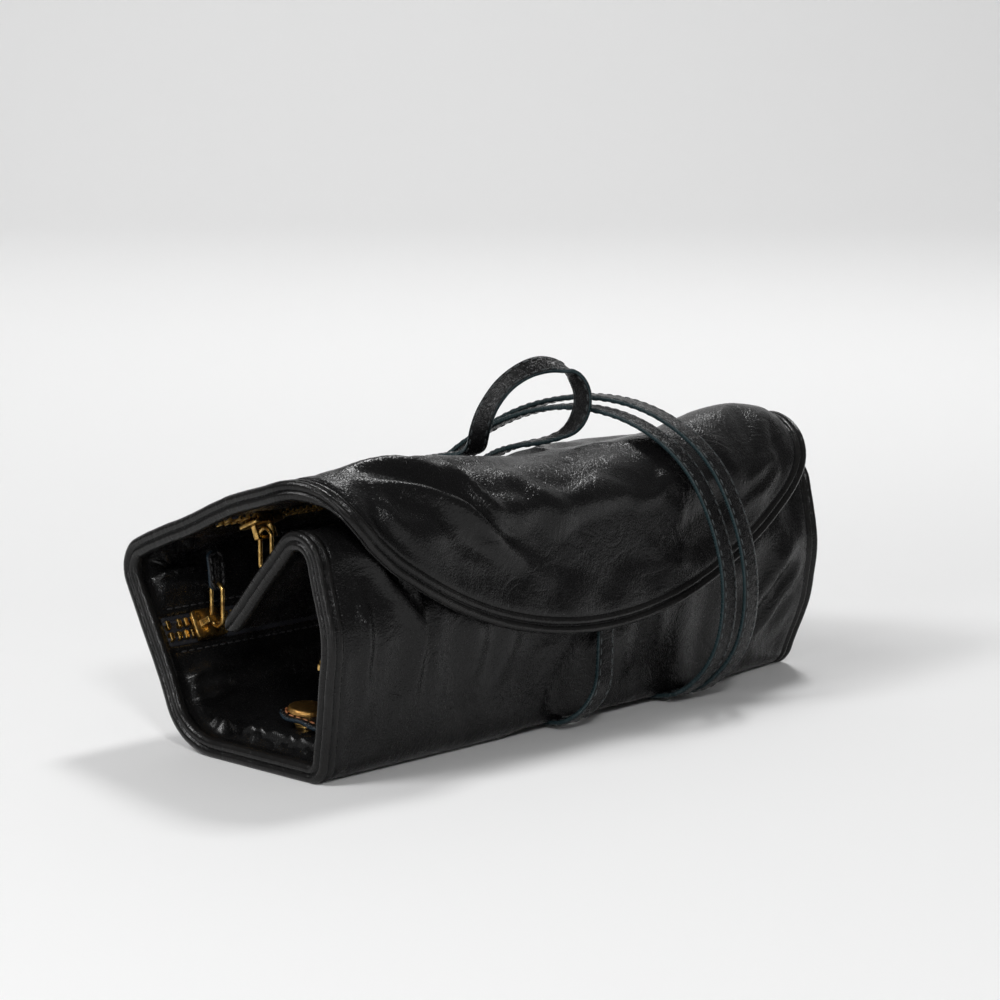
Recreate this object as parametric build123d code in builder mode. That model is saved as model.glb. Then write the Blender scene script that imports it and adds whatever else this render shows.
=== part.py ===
"""A soft leather brush roll case, rolled up and standing on its bottom panel.

Millimetres. +X runs along the roll (the open near end is at -X), -Y is the front, where the flap
hangs, and +Z is up. The origin is on the standing surface, under the middle of the case.
The case is one long panel: curl, front, bottom, back, top and flap, folded between them.
"""
from build123d import *
from math import asin, degrees, dist, radians, sin, sqrt, tan
import os

os.makedirs("parts", exist_ok=True)

# ---------------------------------------------------------------- driving dimensions
roll_length = 220.0

# the leather line of the section, from the tip of the curl round to the flap's edge (back, up)
curl_tip = Vector(1.2, 44.0)
curl_top = Vector(-34.3, 82.0)
front_bulge = Vector(-42.8, 42.0)
fold_front = Vector(-38.3, 0.0)
fold_back = Vector(23.7, 0.0)
fold_top = Vector(52.7, 56.0)
top_crown = Vector(-1.3, 79.5)
shoulder = Vector(-42.8, 89.5)
flap_edge = Vector(-49.3, 30.5)

curl_top_radius = 10.0
front_bulge_radius = 40.0
fold_front_radius = 6.5
fold_back_radius = 24.0
fold_top_radius = 9.5
top_crown_radius = 85.0
shoulder_radius = 21.0

# layers of a wall
leather = 1.3
padding = 2.3
lining = 1.2
flap_lining = 1.1
fold_gap = 0.3
piping_width = 4.0
piping_proud = 0.6

# where each fold turns: this far outside the leather line's arc, so that the case opens out flat
curl_hinge_out = 4.3
front_hinge_out = 1.8
back_hinge_out = 3.6
top_hinge_out = 3.0
flap_hinge_out = 12.0

# scalloped edge of the flap
scallop_half_width = 84.0
scallop_radius = 150.0
scallop_side_radius = 60.0
scallop_side_turn = 46.0
scallop_headroom = 10.0
flap_piping_width = 3.4
flap_piping_proud = 0.4

# channel under the bottom, where the lace passes
channel_depth = 2.4
channel_from = -27.0
channel_to = 60.0
channel_ramp = 14.0
pressed_leather = 0.7

# zips
slot_width = 9.6
tape_thickness = 0.6
tape_margin = 0.1
tooth_pitch = 2.6
tooth_length = 1.3
tooth_height = 2.0
row_width = 2.45
row_gap = 1.1
bead_width = 1.1
bead_height = 1.6
stop_length = 2.6
stop_gap = 0.4
slider_length = 12.0
slider_width = 9.0
slider_corner = 1.8
slider_clearance = 0.35
slider_plate = 1.2
slider_side = 1.1
slider_side_length = 8.4
divider_width = 0.5
divider_length = 3.0
bridge_length = 7.5
bridge_width = 2.0
bridge_bar = 0.9
bridge_leg = 1.1
ring_wire = 1.3
ring_inside = 1.9
ring_reach = 8.0
ring_clearance = 0.6
pull_length = 12.0
pull_width = 6.0
pull_rounding = 2.0
pull_thickness = 1.8
pull_hole_clearance = 0.35
pull_hole_margin = 2.2
zip_end_margin = 1.0
top_zip_from_fold = 44.9
back_zip_from_fold = 34.7
front_zip_from_fold = 31.0
# how far each open slider stands in from the near end of its panel
top_slider_inset = 16.0
back_slider_inset = 16.0
front_slider_inset = 6.3

# pocket, snap tab and snap on the bottom
pocket_thickness = 4.2
pocket_margin = 0.8
pocket_end_margin = 6.0
pocket_rounding = 1.6
tab_width = 16.0
tab_thickness = 1.8
tab_length = 31.5
tab_end_inset = 18.2
tab_inset = 0.4
tab_clearance = 0.3
tab_end_rounding = 7.6
snap_from_tip = 8.5
cap_radius = 6.25
cap_height = 1.6
cap_rounding = 1.1
socket_radius = 4.6
socket_height = 1.5
stud_radius = 2.1
stud_height = 1.2
stud_flange_radius = 4.0
stud_flange = 0.5
stud_clearance = 0.35
snap_clearance = 0.5

# lace: a flat strip, and the patch that holds its sewn end under the flap
lace_width = 6.5
lace_thickness = 1.6
lace_lift = 0.1
lace_edge_clearance = 0.8
lace_start_up = 9.5
lace_start_at = 1.5
patch_width = 12.0
patch_height = 8.0
patch_thickness = 1.2
patch_gap = 0.25

# ---------------------------------------------------------------- sizes that follow
wall_thickness = leather + padding + lining
lining_depth = leather + padding
flap_thickness = leather + flap_lining
panel_length = roll_length - 2 * piping_width
near_end = -panel_length / 2
zip_length = panel_length - 2 * zip_end_margin
teeth_length = zip_length - 2 * (stop_length + stop_gap)
row_at = (row_gap + row_width) / 2
plate_under = tape_thickness + tooth_height + slider_clearance
plate_top = plate_under + slider_plate
bar_height = plate_top + ring_clearance + ring_wire + ring_inside
pocket_length = panel_length - 2 * pocket_end_margin
tab_at = near_end + tab_end_inset


# ---------------------------------------------------------------- folds of the section
class Fold:
    """A rounded fold of the leather line, in the section seen along the roll."""

    def __init__(self, before, at, after, radius, hinge_out=0.0):
        to_before = (before - at).normalized()
        to_after = (after - at).normalized()
        half = radians(to_before.get_angle(to_after)) / 2
        self.radius = radius
        self.inward = (to_before + to_after).normalized()
        self.onward = Vector(self.inward.Y, -self.inward.X)
        self.centre = at + self.inward * (radius / sin(half))
        self.enter = at + to_before * (radius / tan(half))
        self.leave = at + to_after * (radius / tan(half))
        self.middle = self.centre - self.inward * radius
        self.turn = 180.0 - 2 * degrees(half)
        self.hinge = self.middle - self.inward * hinge_out

    def at_depth(self, point, depth):
        """The same place on the arc of a layer this deep under the outer face."""
        return self.centre + (point - self.centre) * ((self.radius - depth) / self.radius)

    def between(self, start, end, depth):
        """The middle of the arc between two of its points."""
        direction = (start + end - self.centre * 2).normalized()
        return self.centre + direction * (self.radius - depth)

    def mitre(self, offset):
        """The plane across the fold, moved along the leather line by an offset."""
        point = self.middle + self.onward * offset
        return Plane(
            origin=(0, point.X, point.Y),
            x_dir=(1, 0, 0),
            z_dir=(0, self.onward.X, self.onward.Y),
        )


def inward_of(before, after):
    """The direction into the roll from a straight stretch of the leather line."""
    along = (after - before).normalized()
    return Vector(-along.Y, along.X)


curl_bend = Fold(curl_tip, curl_top, front_bulge, curl_top_radius, curl_hinge_out)
bulge_bend = Fold(curl_top, front_bulge, fold_front, front_bulge_radius)
front_bend = Fold(front_bulge, fold_front, fold_back, fold_front_radius, front_hinge_out)
back_bend = Fold(fold_front, fold_back, fold_top, fold_back_radius, back_hinge_out)
top_bend = Fold(fold_back, fold_top, top_crown, fold_top_radius, top_hinge_out)
crown_bend = Fold(fold_top, top_crown, shoulder, top_crown_radius)
shoulder_bend = Fold(top_crown, shoulder, flap_edge, shoulder_radius, flap_hinge_out)

# each wall runs from one fold, or a free end, over its own bends to the next
walls = {
    "curl": [None, curl_bend],
    "front": [curl_bend, bulge_bend, front_bend],
    "bottom": [front_bend, back_bend],
    "back": [back_bend, top_bend],
    "top": [top_bend, crown_bend, shoulder_bend],
    "flap": [shoulder_bend, None],
}


def face_line(wall, depth):
    """Draw one layer's face line in a wall, and give its two ends."""
    first, *bends, last = walls[wall]
    if first is None:
        here = start = curl_tip + inward_of(curl_tip, curl_top) * depth
    else:
        start = first.at_depth(first.middle, depth)
        here = first.at_depth(first.leave, depth)
        ThreePointArc(start, first.between(first.middle, first.leave, depth), here)
    for bend in bends:
        enter = bend.at_depth(bend.enter, depth)
        leave = bend.at_depth(bend.leave, depth)
        Line(here, enter)
        ThreePointArc(enter, bend.at_depth(bend.middle, depth), leave)
        here = leave
    if last is None:
        end = flap_edge + inward_of(shoulder, flap_edge) * depth
        Line(here, end)
    else:
        enter = last.at_depth(last.enter, depth)
        end = last.at_depth(last.middle, depth)
        Line(here, enter)
        ThreePointArc(enter, last.between(last.enter, last.middle, depth), end)
    return start, end


def extrude_band(wall, depth_out, depth_in, start, length):
    """Extrude the section of a wall between two depths along the roll, in the part being built."""
    with BuildSketch(Plane.YZ.offset(start)) as section:
        with BuildLine():
            outer_start, outer_end = face_line(wall, depth_out)
            inner_start, inner_end = face_line(wall, depth_in)
            Line(outer_start, inner_start)
            Line(outer_end, inner_end)
        make_face()
    extrude(section.sketch, amount=length)


def trim_at_folds(wall):
    """Cut the part being built back to half the fold gap at each fold of its wall."""
    first, last = walls[wall][0], walls[wall][-1]
    if first is not None:
        split(bisect_by=first.mitre(fold_gap / 2), keep=Keep.TOP)
    if last is not None:
        split(bisect_by=last.mitre(-fold_gap / 2), keep=Keep.BOTTOM)


def finish(part, label):
    """Name a finished piece and write it."""
    part.label = label
    export_step(part, f"parts/{label}.step")


# ---------------------------------------------------------------- leather, padding and lining
def wall_layer(wall, label, depth_out, depth_in):
    """One layer of a wall, between the end pipings."""
    with BuildPart() as layer:
        extrude_band(wall, depth_out, depth_in, near_end, panel_length)
        trim_at_folds(wall)
    finish(layer.part, label)


def end_pipings(wall):
    """The rolled leather edges of a wall, at the near and the far end."""
    depth = wall_thickness + piping_proud
    with BuildPart() as pipings:
        extrude_band(wall, 0, depth, -roll_length / 2, piping_width)
        extrude_band(wall, 0, depth, roll_length / 2 - piping_width, piping_width)
        trim_at_folds(wall)
    finish(pipings.part, f"{wall}_piping")


for wall in ("curl", "back", "top"):
    wall_layer(wall, f"{wall}_outer", 0, leather)
for wall in ("curl", "front", "back", "top"):
    wall_layer(wall, f"{wall}_padding", leather, lining_depth)
for wall in ("curl", "bottom"):
    wall_layer(wall, f"{wall}_lining", lining_depth, wall_thickness)
for wall in ("curl", "front", "bottom", "back", "top"):
    end_pipings(wall)

# the rolled edge along the tip of the curl, face to face with the curl's layers
tip_along = (curl_tip - curl_top).normalized()
tip_plane = Plane(
    origin=(near_end, curl_tip.X, curl_tip.Y),
    x_dir=(0, tip_along.X, tip_along.Y),
    z_dir=(1, 0, 0),
)
tip_axis = Axis((0, 0, 0), (0, tip_along.X, tip_along.Y))
with BuildPart() as curl_edge_piping:
    with BuildSketch(tip_plane):
        with Locations((piping_width / 2, -wall_thickness / 2)):
            Rectangle(piping_width, wall_thickness)
    extrude(amount=panel_length)
    tip_edges = curl_edge_piping.edges().filter_by(Axis.X).sort_by(tip_axis)[-2:]
    fillet(tip_edges, radius=piping_width / 4)
finish(curl_edge_piping.part, "curl_edge_piping")

# ---------------------------------------------------------------- the channel for the lace
# the leather is pressed up over the lace, from the front fold to where the back fold lifts clear
roof_top = channel_depth + pressed_leather
roof_middle = channel_depth + pressed_leather / 2
channel_back = back_bend.enter.X + sqrt(fold_back_radius**2 - (fold_back_radius - roof_middle) ** 2)
channel_reach = channel_back - fold_front.X
below_floor = -leather


def channel_outline(foot, bed, bed_top, foot_top):
    """A strip across the channel, from its lower and its upper line."""
    with BuildSketch(Plane.XZ.offset(-channel_back)) as strip:
        with BuildLine():
            Polyline(
                (channel_from - channel_ramp, foot),
                (channel_from, bed),
                (channel_to, bed),
                (channel_to + channel_ramp, foot),
                (channel_to + channel_ramp, foot_top),
                (channel_to, bed_top),
                (channel_from, bed_top),
                (channel_from - channel_ramp, foot_top),
                close=True,
            )
        make_face()
    return strip.sketch


def clear_channel(foot_top, bed_top):
    """Remove all that lies under a line across the channel from the part being built."""
    under = channel_outline(below_floor, below_floor, bed_top, foot_top)
    extrude(under, amount=channel_reach + wall_thickness, mode=Mode.SUBTRACT)


with BuildPart() as bottom_outer:
    extrude_band("bottom", 0, leather, near_end, panel_length)
    clear_channel(0, channel_depth)
    extrude(channel_outline(0, channel_depth, roof_top, leather), amount=channel_reach)
    trim_at_folds("bottom")
finish(bottom_outer.part, "bottom_outer")

with BuildPart() as bottom_padding:
    extrude_band("bottom", leather, lining_depth, near_end, panel_length)
    clear_channel(leather, roof_top)
    trim_at_folds("bottom")
finish(bottom_padding.part, "bottom_padding")

with BuildPart() as front_outer:
    extrude_band("front", 0, leather, near_end, panel_length)
    clear_channel(0, channel_depth)
    trim_at_folds("front")
finish(front_outer.part, "front_outer")

# ---------------------------------------------------------------- scalloped flap
main_centre = Vector(0, flap_edge.Y + scallop_radius)
side_fall = sqrt(scallop_radius**2 - scallop_half_width**2)
side_point = Vector(scallop_half_width, main_centre.Y - side_fall)
to_main_centre = (main_centre - side_point).normalized()
side_centre = side_point + to_main_centre * scallop_side_radius


def scallop(inset):
    """All that lies above the scalloped edge moved in by an inset, seen from the front."""
    outward = to_main_centre * (inset - scallop_side_radius)
    corner = side_centre + outward
    bend = side_centre + outward.rotate(Axis.Z, scallop_side_turn / 2)
    end = side_centre + outward.rotate(Axis.Z, scallop_side_turn)
    ceiling = shoulder.Y + scallop_headroom
    with BuildSketch(Plane.XZ) as outline:
        with BuildLine():
            ThreePointArc((-corner.X, corner.Y), (0, flap_edge.Y + inset), (corner.X, corner.Y))
            for side in (-1, 1):
                ThreePointArc(
                    (side * corner.X, corner.Y), (side * bend.X, bend.Y), (side * end.X, end.Y)
                )
                Line((side * end.X, end.Y), (side * end.X, ceiling))
            Line((-end.X, ceiling), (end.X, ceiling))
        make_face()
    return outline.sketch


def flap_sheet(depth_out, depth_in, inset):
    """A layer of the flap, cut to the scallop, in the part being built."""
    extrude_band("flap", depth_out, depth_in, -roll_length / 2, roll_length)
    extrude(scallop(inset), amount=roll_length, mode=Mode.INTERSECT)
    trim_at_folds("flap")


with BuildPart() as flap_outer:
    flap_sheet(0, leather, flap_piping_width)
finish(flap_outer.part, "flap_outer")

with BuildPart() as flap_lining_sheet:
    flap_sheet(leather, flap_thickness, flap_piping_width)
finish(flap_lining_sheet.part, "flap_lining")

with BuildPart() as flap_piping:
    flap_sheet(0, flap_thickness + flap_piping_proud, 0)
    extrude(scallop(flap_piping_width), amount=roll_length, mode=Mode.SUBTRACT)
finish(flap_piping.part, "flap_piping")


# ---------------------------------------------------------------- zips
class Zip:
    """Where one zip lies: its plane on the padding, its slider and the way its pull points."""

    def __init__(self, before, after, from_before, slider_inset, pull_towards):
        inward = inward_of(before, after)
        self.along = (after - before).normalized()
        self.seat = before + self.along * from_before + inward * lining_depth
        self.plane = Plane(
            origin=(0, self.seat.X, self.seat.Y),
            x_dir=(1, 0, 0),
            z_dir=(0, inward.X, inward.Y),
        )
        self.slider_at = near_end + slider_inset
        self.pull = Vector(0, pull_towards.X, pull_towards.Y)
        self.bar = self.plane.from_local_coords(Vector(self.slider_at, 0, bar_height))

    def edge_plane(self, side):
        """The plane across the wall at one edge of the zip's slot."""
        point = self.seat + self.along * (side * slot_width / 2)
        return Plane(
            origin=(0, point.X, point.Y), x_dir=(1, 0, 0), z_dir=(0, self.along.X, self.along.Y)
        )


down = Vector(0, -1)
up = Vector(0, 1)
front_zip_from_bulge = (fold_front - front_bulge).length - front_zip_from_fold
zips = {
    "top_zip": Zip(fold_top, top_crown, top_zip_from_fold, top_slider_inset, down),
    "back_zip": Zip(fold_back, fold_top, back_zip_from_fold, back_slider_inset, up),
    "front_zip": Zip(front_bulge, fold_front, front_zip_from_bulge, front_slider_inset, down),
}


def lining_beside_zip(wall, side, label):
    """The lining on one side of a zip's slot: the face of a pocket."""
    keep = Keep.TOP if side > 0 else Keep.BOTTOM
    with BuildPart() as panel:
        extrude_band(wall, lining_depth, wall_thickness, near_end, panel_length)
        trim_at_folds(wall)
        split(bisect_by=zips[f"{wall}_zip"].edge_plane(side), keep=keep)
    finish(panel.part, label)


lining_beside_zip("top", -1, "top_lining_back")
lining_beside_zip("top", 1, "top_lining_front")
lining_beside_zip("back", -1, "back_lining_lower")
lining_beside_zip("back", 1, "back_lining_upper")
lining_beside_zip("front", -1, "front_lining_upper")
lining_beside_zip("front", 1, "front_lining_lower")


def zip_tape(name, place):
    """The woven tape, on the padding between the lining panels."""
    with BuildPart() as tape:
        with BuildSketch(place.plane):
            Rectangle(zip_length, slot_width - 2 * tape_margin)
        extrude(amount=tape_thickness)
    finish(tape.part, f"{name}_tape")


def zip_teeth(name, place):
    """Both rows of teeth, each on its bead, staggered by half a pitch."""
    teeth_plane = place.plane.offset(tape_thickness)
    count = int(teeth_length / tooth_pitch)
    bead_at = row_gap / 2 + row_width - bead_width / 2
    with BuildPart() as teeth:
        for side in (-1, 1):
            with BuildSketch(teeth_plane):
                with Locations((0, side * bead_at)):
                    Rectangle(teeth_length, bead_width)
            extrude(amount=bead_height)
            with BuildSketch(teeth_plane):
                with Locations((side * tooth_pitch / 4, side * row_at)):
                    with GridLocations(tooth_pitch, 0, count - 1, 1):
                        Rectangle(tooth_length, row_width)
            extrude(amount=tooth_height)
    finish(teeth.part, f"{name}_teeth")


def zip_stops(name, place):
    """The four metal stops that end the rows."""
    with BuildPart() as stops:
        with BuildSketch(place.plane.offset(tape_thickness)):
            with GridLocations(zip_length - stop_length, 2 * row_at, 2, 2):
                Rectangle(stop_length, row_width)
        extrude(amount=tooth_height)
    finish(stops.part, f"{name}_stops")


def zip_slider(name, place):
    """The slider's plate, sides and divider over the teeth, with the bridge that holds the ring."""
    at = place.slider_at
    side_bottom = tape_thickness + slider_clearance
    divider_at = at - (slider_length - divider_length) / 2
    with BuildPart() as slider:
        with BuildSketch(place.plane.offset(plate_under)):
            with Locations((at, 0)):
                RectangleRounded(slider_length, slider_width, slider_corner)
        extrude(amount=slider_plate)
        with BuildSketch(place.plane.offset(side_bottom)):
            for side in (-1, 1):
                with Locations((at, side * (slider_width - slider_side) / 2)):
                    Rectangle(slider_side_length, slider_side)
            with Locations((divider_at, 0)):
                Rectangle(divider_length, divider_width)
        extrude(amount=plate_under - side_bottom)
        with BuildSketch(place.plane.offset(plate_top)):
            with Locations((at, 0)):
                with GridLocations(bridge_length - bridge_leg, 0, 2, 1):
                    Rectangle(bridge_leg, bridge_width)
        extrude(amount=bar_height - plate_top)
        with BuildSketch(place.plane.offset(bar_height - bridge_bar / 2)):
            with Locations((at, 0)):
                Rectangle(bridge_length, bridge_width)
        extrude(amount=bridge_bar)
    finish(slider.part, f"{name}_slider")


def zip_ring(name, place):
    """The wire ring that hangs on the slider's bridge."""
    radius = ring_inside + ring_wire / 2
    with BuildPart() as ring:
        with BuildLine(Plane(origin=place.bar, x_dir=place.pull, z_dir=(1, 0, 0))) as route:
            ThreePointArc((0, radius), (-radius, 0), (0, -radius))
            Line((0, -radius), (ring_reach, -radius))
            ThreePointArc((ring_reach, -radius), (ring_reach + radius, 0), (ring_reach, radius))
            Line((ring_reach, radius), (0, radius))
        wire = route.wire()
        with BuildSketch(Plane(origin=wire @ 0, z_dir=wire % 0)):
            Circle(ring_wire / 2)
        sweep(path=wire)
    finish(ring.part, f"{name}_ring")


def zip_pull(name, place):
    """The leather pull tab on the ring, pierced by the wire."""
    hole_at = ring_reach + ring_inside + ring_wire / 2
    pull_middle = hole_at - pull_hole_margin + pull_length / 2
    across = Vector(1, 0, 0).cross(place.pull)
    pull_plane = Plane(origin=place.bar, x_dir=place.pull, z_dir=across)
    with BuildPart() as pull:
        with BuildSketch(pull_plane.offset(-pull_thickness / 2)):
            with Locations((pull_middle, 0)):
                RectangleRounded(pull_length, pull_width, pull_rounding)
            with Locations((hole_at, 0)):
                Circle(ring_wire / 2 + pull_hole_clearance, mode=Mode.SUBTRACT)
        extrude(amount=pull_thickness)
    finish(pull.part, f"{name}_pull")


for name, place in zips.items():
    zip_tape(name, place)
    zip_teeth(name, place)
    zip_stops(name, place)
    zip_slider(name, place)
    zip_ring(name, place)
    zip_pull(name, place)

# ---------------------------------------------------------------- pocket, tab and snap
pocket_front = front_bend.leave.X + pocket_margin
pocket_back = back_bend.enter.X - pocket_margin
pocket_top = wall_thickness + pocket_thickness
with BuildPart() as bottom_pocket:
    with BuildSketch(Plane.XY.offset(wall_thickness)):
        with Locations((0, (pocket_front + pocket_back) / 2)):
            Rectangle(pocket_length, pocket_back - pocket_front)
    extrude(amount=pocket_thickness)
    fillet(bottom_pocket.faces().sort_by(Axis.Z)[-1].edges(), radius=pocket_rounding)
finish(bottom_pocket.part, "bottom_pocket")

# the tab lies up over the snap, which holds it closed
snap_reach = tab_length - snap_from_tip
snap_rise = stud_flange + snap_clearance + socket_height - tab_clearance
tab_tilt = degrees(asin(snap_rise / snap_reach))
tab_hinge = Vector(tab_at, pocket_front + tab_inset, pocket_top + tab_clearance)
tab_normal = Vector(0, 0, 1).rotate(Axis.X, tab_tilt)
tab_plane = Plane(origin=tab_hinge, x_dir=(1, 0, 0), z_dir=tab_normal)
snap_place = tab_plane.from_local_coords(Vector(0, snap_reach, 0))

with BuildPart() as snap_tab:
    with BuildSketch(tab_plane) as tab_outline:
        with Locations((0, tab_length / 2)):
            Rectangle(tab_width, tab_length)
        fillet(tab_outline.vertices().group_by(Axis.Y)[-1], radius=tab_end_rounding)
    extrude(amount=tab_thickness)
finish(snap_tab.part, "snap_tab")

with BuildPart() as snap_cap:
    with BuildSketch(tab_plane.offset(tab_thickness)):
        with Locations((0, snap_reach)):
            Circle(cap_radius)
    extrude(amount=cap_height)
    fillet(snap_cap.faces().sort_by(Axis.Z)[-1].edges(), radius=cap_rounding)
finish(snap_cap.part, "snap_cap")

with BuildPart() as snap_socket:
    with BuildSketch(tab_plane.offset(-socket_height)):
        with Locations((0, snap_reach)):
            Circle(socket_radius)
            Circle(stud_radius + stud_clearance, mode=Mode.SUBTRACT)
    extrude(amount=socket_height)
finish(snap_socket.part, "snap_socket")

with BuildPart() as snap_stud:
    with BuildSketch(Plane.XY.offset(pocket_top)):
        with Locations((snap_place.X, snap_place.Y)):
            Circle(stud_flange_radius)
    extrude(amount=stud_flange)
    with BuildSketch(Plane.XY.offset(pocket_top + stud_flange)):
        with Locations((snap_place.X, snap_place.Y)):
            Circle(stud_radius)
    extrude(amount=stud_height)
finish(snap_stud.part, "snap_stud")

# ---------------------------------------------------------------- lace and its patch
flap_up = (shoulder - flap_edge).normalized()
flap_inward = inward_of(shoulder, flap_edge)
patch_seat = flap_edge + flap_up * lace_start_up + flap_inward * flap_thickness
lace_start = patch_seat + flap_inward * (lace_lift + lace_thickness / 2)
lace_edge_depth = flap_thickness + flap_piping_proud + lace_edge_clearance + lace_thickness / 2
lace_at_edge = flap_edge + flap_inward * lace_edge_depth

with BuildPart() as lace_patch:
    patch_plane = Plane(
        origin=(lace_start_at, patch_seat.X, patch_seat.Y),
        x_dir=(1, 0, 0),
        z_dir=(0, flap_inward.X, flap_inward.Y),
    )
    with BuildSketch(patch_plane):
        with Locations((0, -patch_gap - patch_height / 2)):
            Rectangle(patch_width, patch_height)
    extrude(amount=patch_thickness)
finish(lace_patch.part, "lace_patch")

# from under the flap twice round the roll, and up the back a third time
turn_points = [
    Vector(lace_start_at, lace_start.X, lace_start.Y),
    Vector(1.0, lace_at_edge.X, lace_at_edge.Y),
    Vector(-1.5, -47.3, 22),
    Vector(-6, -50.5, 13),
    Vector(-11, -47.5, 5.5),
    Vector(-14, -38.5, 1.1),
    Vector(-2, 22.5, 1.1),
    Vector(8, 36.5, 6),
    Vector(14, 49.7, 23),
    Vector(17, 55.2, 45),
    Vector(18, 49.7, 64),
    Vector(20.5, 34.7, 77.5),
    Vector(25, 16.7, 88),
    Vector(30, -4.3, 93),
    Vector(35, -26.3, 90),
    Vector(39.5, -45.3, 78),
    Vector(42.5, -54.8, 59),
    Vector(43.8, -59.3, 39),
    Vector(43, -57.3, 19),
    Vector(40.5, -48.5, 6),
    Vector(36.5, -38.5, 1.1),
    Vector(33, 22.5, 1.1),
    Vector(28.5, 37.5, 6),
    Vector(24.5, 51.2, 23),
    Vector(24.2, 57.7, 45),
    Vector(25.5, 52.2, 65),
    Vector(28.5, 36.7, 79.5),
    Vector(33, 17.7, 90.5),
    Vector(38, -4.3, 95.5),
    Vector(43, -27.3, 92.5),
    Vector(47.5, -47.3, 80),
    Vector(50.5, -57.3, 60),
    Vector(51.5, -61.8, 39),
    Vector(50.8, -59.3, 19),
    Vector(48.5, -49.3, 6),
    Vector(44.5, -38.5, 1.1),
    Vector(41, 22.5, 1.1),
    Vector(36, 40.5, 7),
    Vector(28, 57.2, 22),
    Vector(17, 62.7, 43),
    Vector(6, 53.7, 62),
]
# the standing loop: over the ridge, up, round and back down behind it, with a bare end
loop_points = [
    turn_points[-1],
    Vector(1.6, 50.1, 69.6),
    Vector(-0.5, 37.7, 73.5),
    Vector(-1, 22, 77),
    Vector(1.8, 11, 78.2),
    Vector(2, 9.4, 86),
    Vector(4.4, 7.7, 93.6),
    Vector(8.2, 3.1, 101.5),
    Vector(14.3, -4, 107),
    Vector(19.7, -10.6, 106.4),
    Vector(23.3, -14.9, 100.3),
    Vector(23.5, -15.1, 92.7),
    Vector(21.3, -12.4, 86.1),
    Vector(16.3, -6.5, 82.6),
    Vector(10.7, 0.3, 81.2),
    Vector(11.5, 9, 78.5),
    Vector(14.5, 20, 73.6),
    Vector(15.5, 32, 68),
    Vector(17.5, 43, 62.6),
]
# the lace's broad side lies along the roll, and turns across the loop's own plane within it
loop_broad_turn = 40.0
twist_in_from = 44.0
twist_out_from = 122.0
twist_length = 20.0
run_share = 0.45
guide_distance = 200.0
loop_step = 2.0
rim_step = 2.0
self_gap_beyond = 24.0


def lace_route(points, label):
    """Straight runs joined by arcs, each as large as the two runs beside it allow."""
    radii = []
    for before, at, after in zip(points, points[1:], points[2:]):
        turn = radians((at - before).get_angle(after - at))
        shorter = min((at - before).length, (after - at).length)
        radii.append(run_share * shorter / tan(turn / 2))
    with BuildLine() as route:
        FilletPolyline(*points, radius=radii)
    print(label, "radii", [round(radius, 1) for radius in radii])
    return route.wire()


def no_twist(along):
    """The broad side along the roll."""
    return 0.0


def loop_twist(along):
    """How far the broad side has turned from +X at a distance along the loop, in degrees."""
    turned_in = min(max((along - twist_in_from) / twist_length, 0), 1)
    turned_back = min(max((along - twist_out_from) / twist_length, 0), 1)
    return loop_broad_turn * (turned_in - turned_back)


def lace_planes(route, twist, step):
    """Planes across the lace at even steps along a route, each holding its broad side."""
    count = round(route.length / step)
    planes = []
    for index in range(count + 1):
        share = index / count
        along = route % share
        broad = Vector(1, 0, 0).rotate(Axis.Z, twist(share * route.length))
        onward = along - broad * along.dot(broad)
        planes.append(Plane(origin=route @ share, x_dir=broad, z_dir=onward))
    return planes


def least_gap(planes):
    """The least distance between points of the lace's outline that lie apart along it."""
    outline = [
        Vector(share * lace_width / 6, side * lace_thickness / 2)
        for share in (-3, -2, -1, 0, 1, 2, 3)
        for side in (-1, 1)
    ]
    rims = [[tuple(plane.from_local_coords(point)) for point in outline] for plane in planes]
    centres = [tuple(plane.origin) for plane in planes]
    apart = round(self_gap_beyond / rim_step)
    gap = lace_width
    for index, centre in enumerate(centres):
        for other in range(index + apart, len(centres)):
            if dist(centre, centres[other]) < 2 * lace_width:
                gap = min(gap, *(dist(a, b) for a in rims[index] for b in rims[other]))
    return gap


turns_route = lace_route(turn_points, "lace_turns")
with BuildPart() as lace_turns:
    with BuildSketch(lace_planes(turns_route, no_twist, turns_route.length)[0]):
        Rectangle(lace_width, lace_thickness)
    sweep(path=turns_route, binormal=turns_route.moved(Location((guide_distance, 0, 0))))
finish(lace_turns.part, "lace_turns")

loop_route = lace_route(loop_points, "lace_loop")
with BuildPart() as lace_loop:
    for plane in lace_planes(loop_route, loop_twist, loop_step):
        with BuildSketch(plane):
            Rectangle(lace_width, lace_thickness)
    loft(ruled=True)
finish(lace_loop.part, "lace_loop")

# ---------------------------------------------------------------- what the record needs
lace_section = lace_width * lace_thickness
for label, piece, route in (
    ("lace_turns", lace_turns, turns_route),
    ("lace_loop", lace_loop, loop_route),
):
    share = piece.part.volume / (lace_section * route.length)
    print(label, "length", round(route.length, 1), "volume over section times length", share)
rim_planes = lace_planes(turns_route, no_twist, rim_step)
rim_planes += lace_planes(loop_route, loop_twist, rim_step)
print("lace least gap to itself", round(least_gap(rim_planes), 2))
for label, fold in (
    ("curl", curl_bend),
    ("front", front_bend),
    ("back", back_bend),
    ("top", top_bend),
    ("flap", shoulder_bend),
):
    hinge = (round(fold.hinge.X, 3), round(fold.hinge.Y, 3))
    print(label, "hinge (back, up)", hinge, "fold turn", round(fold.turn, 2))
print("crown turn", round(crown_bend.turn, 2), "bulge turn", round(bulge_bend.turn, 2))
for name, place in zips.items():
    print(name, "bar", [round(value, 3) for value in place.bar])
print("tab hinge", [round(value, 3) for value in tab_hinge], "tilt", round(tab_tilt, 2))
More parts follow.
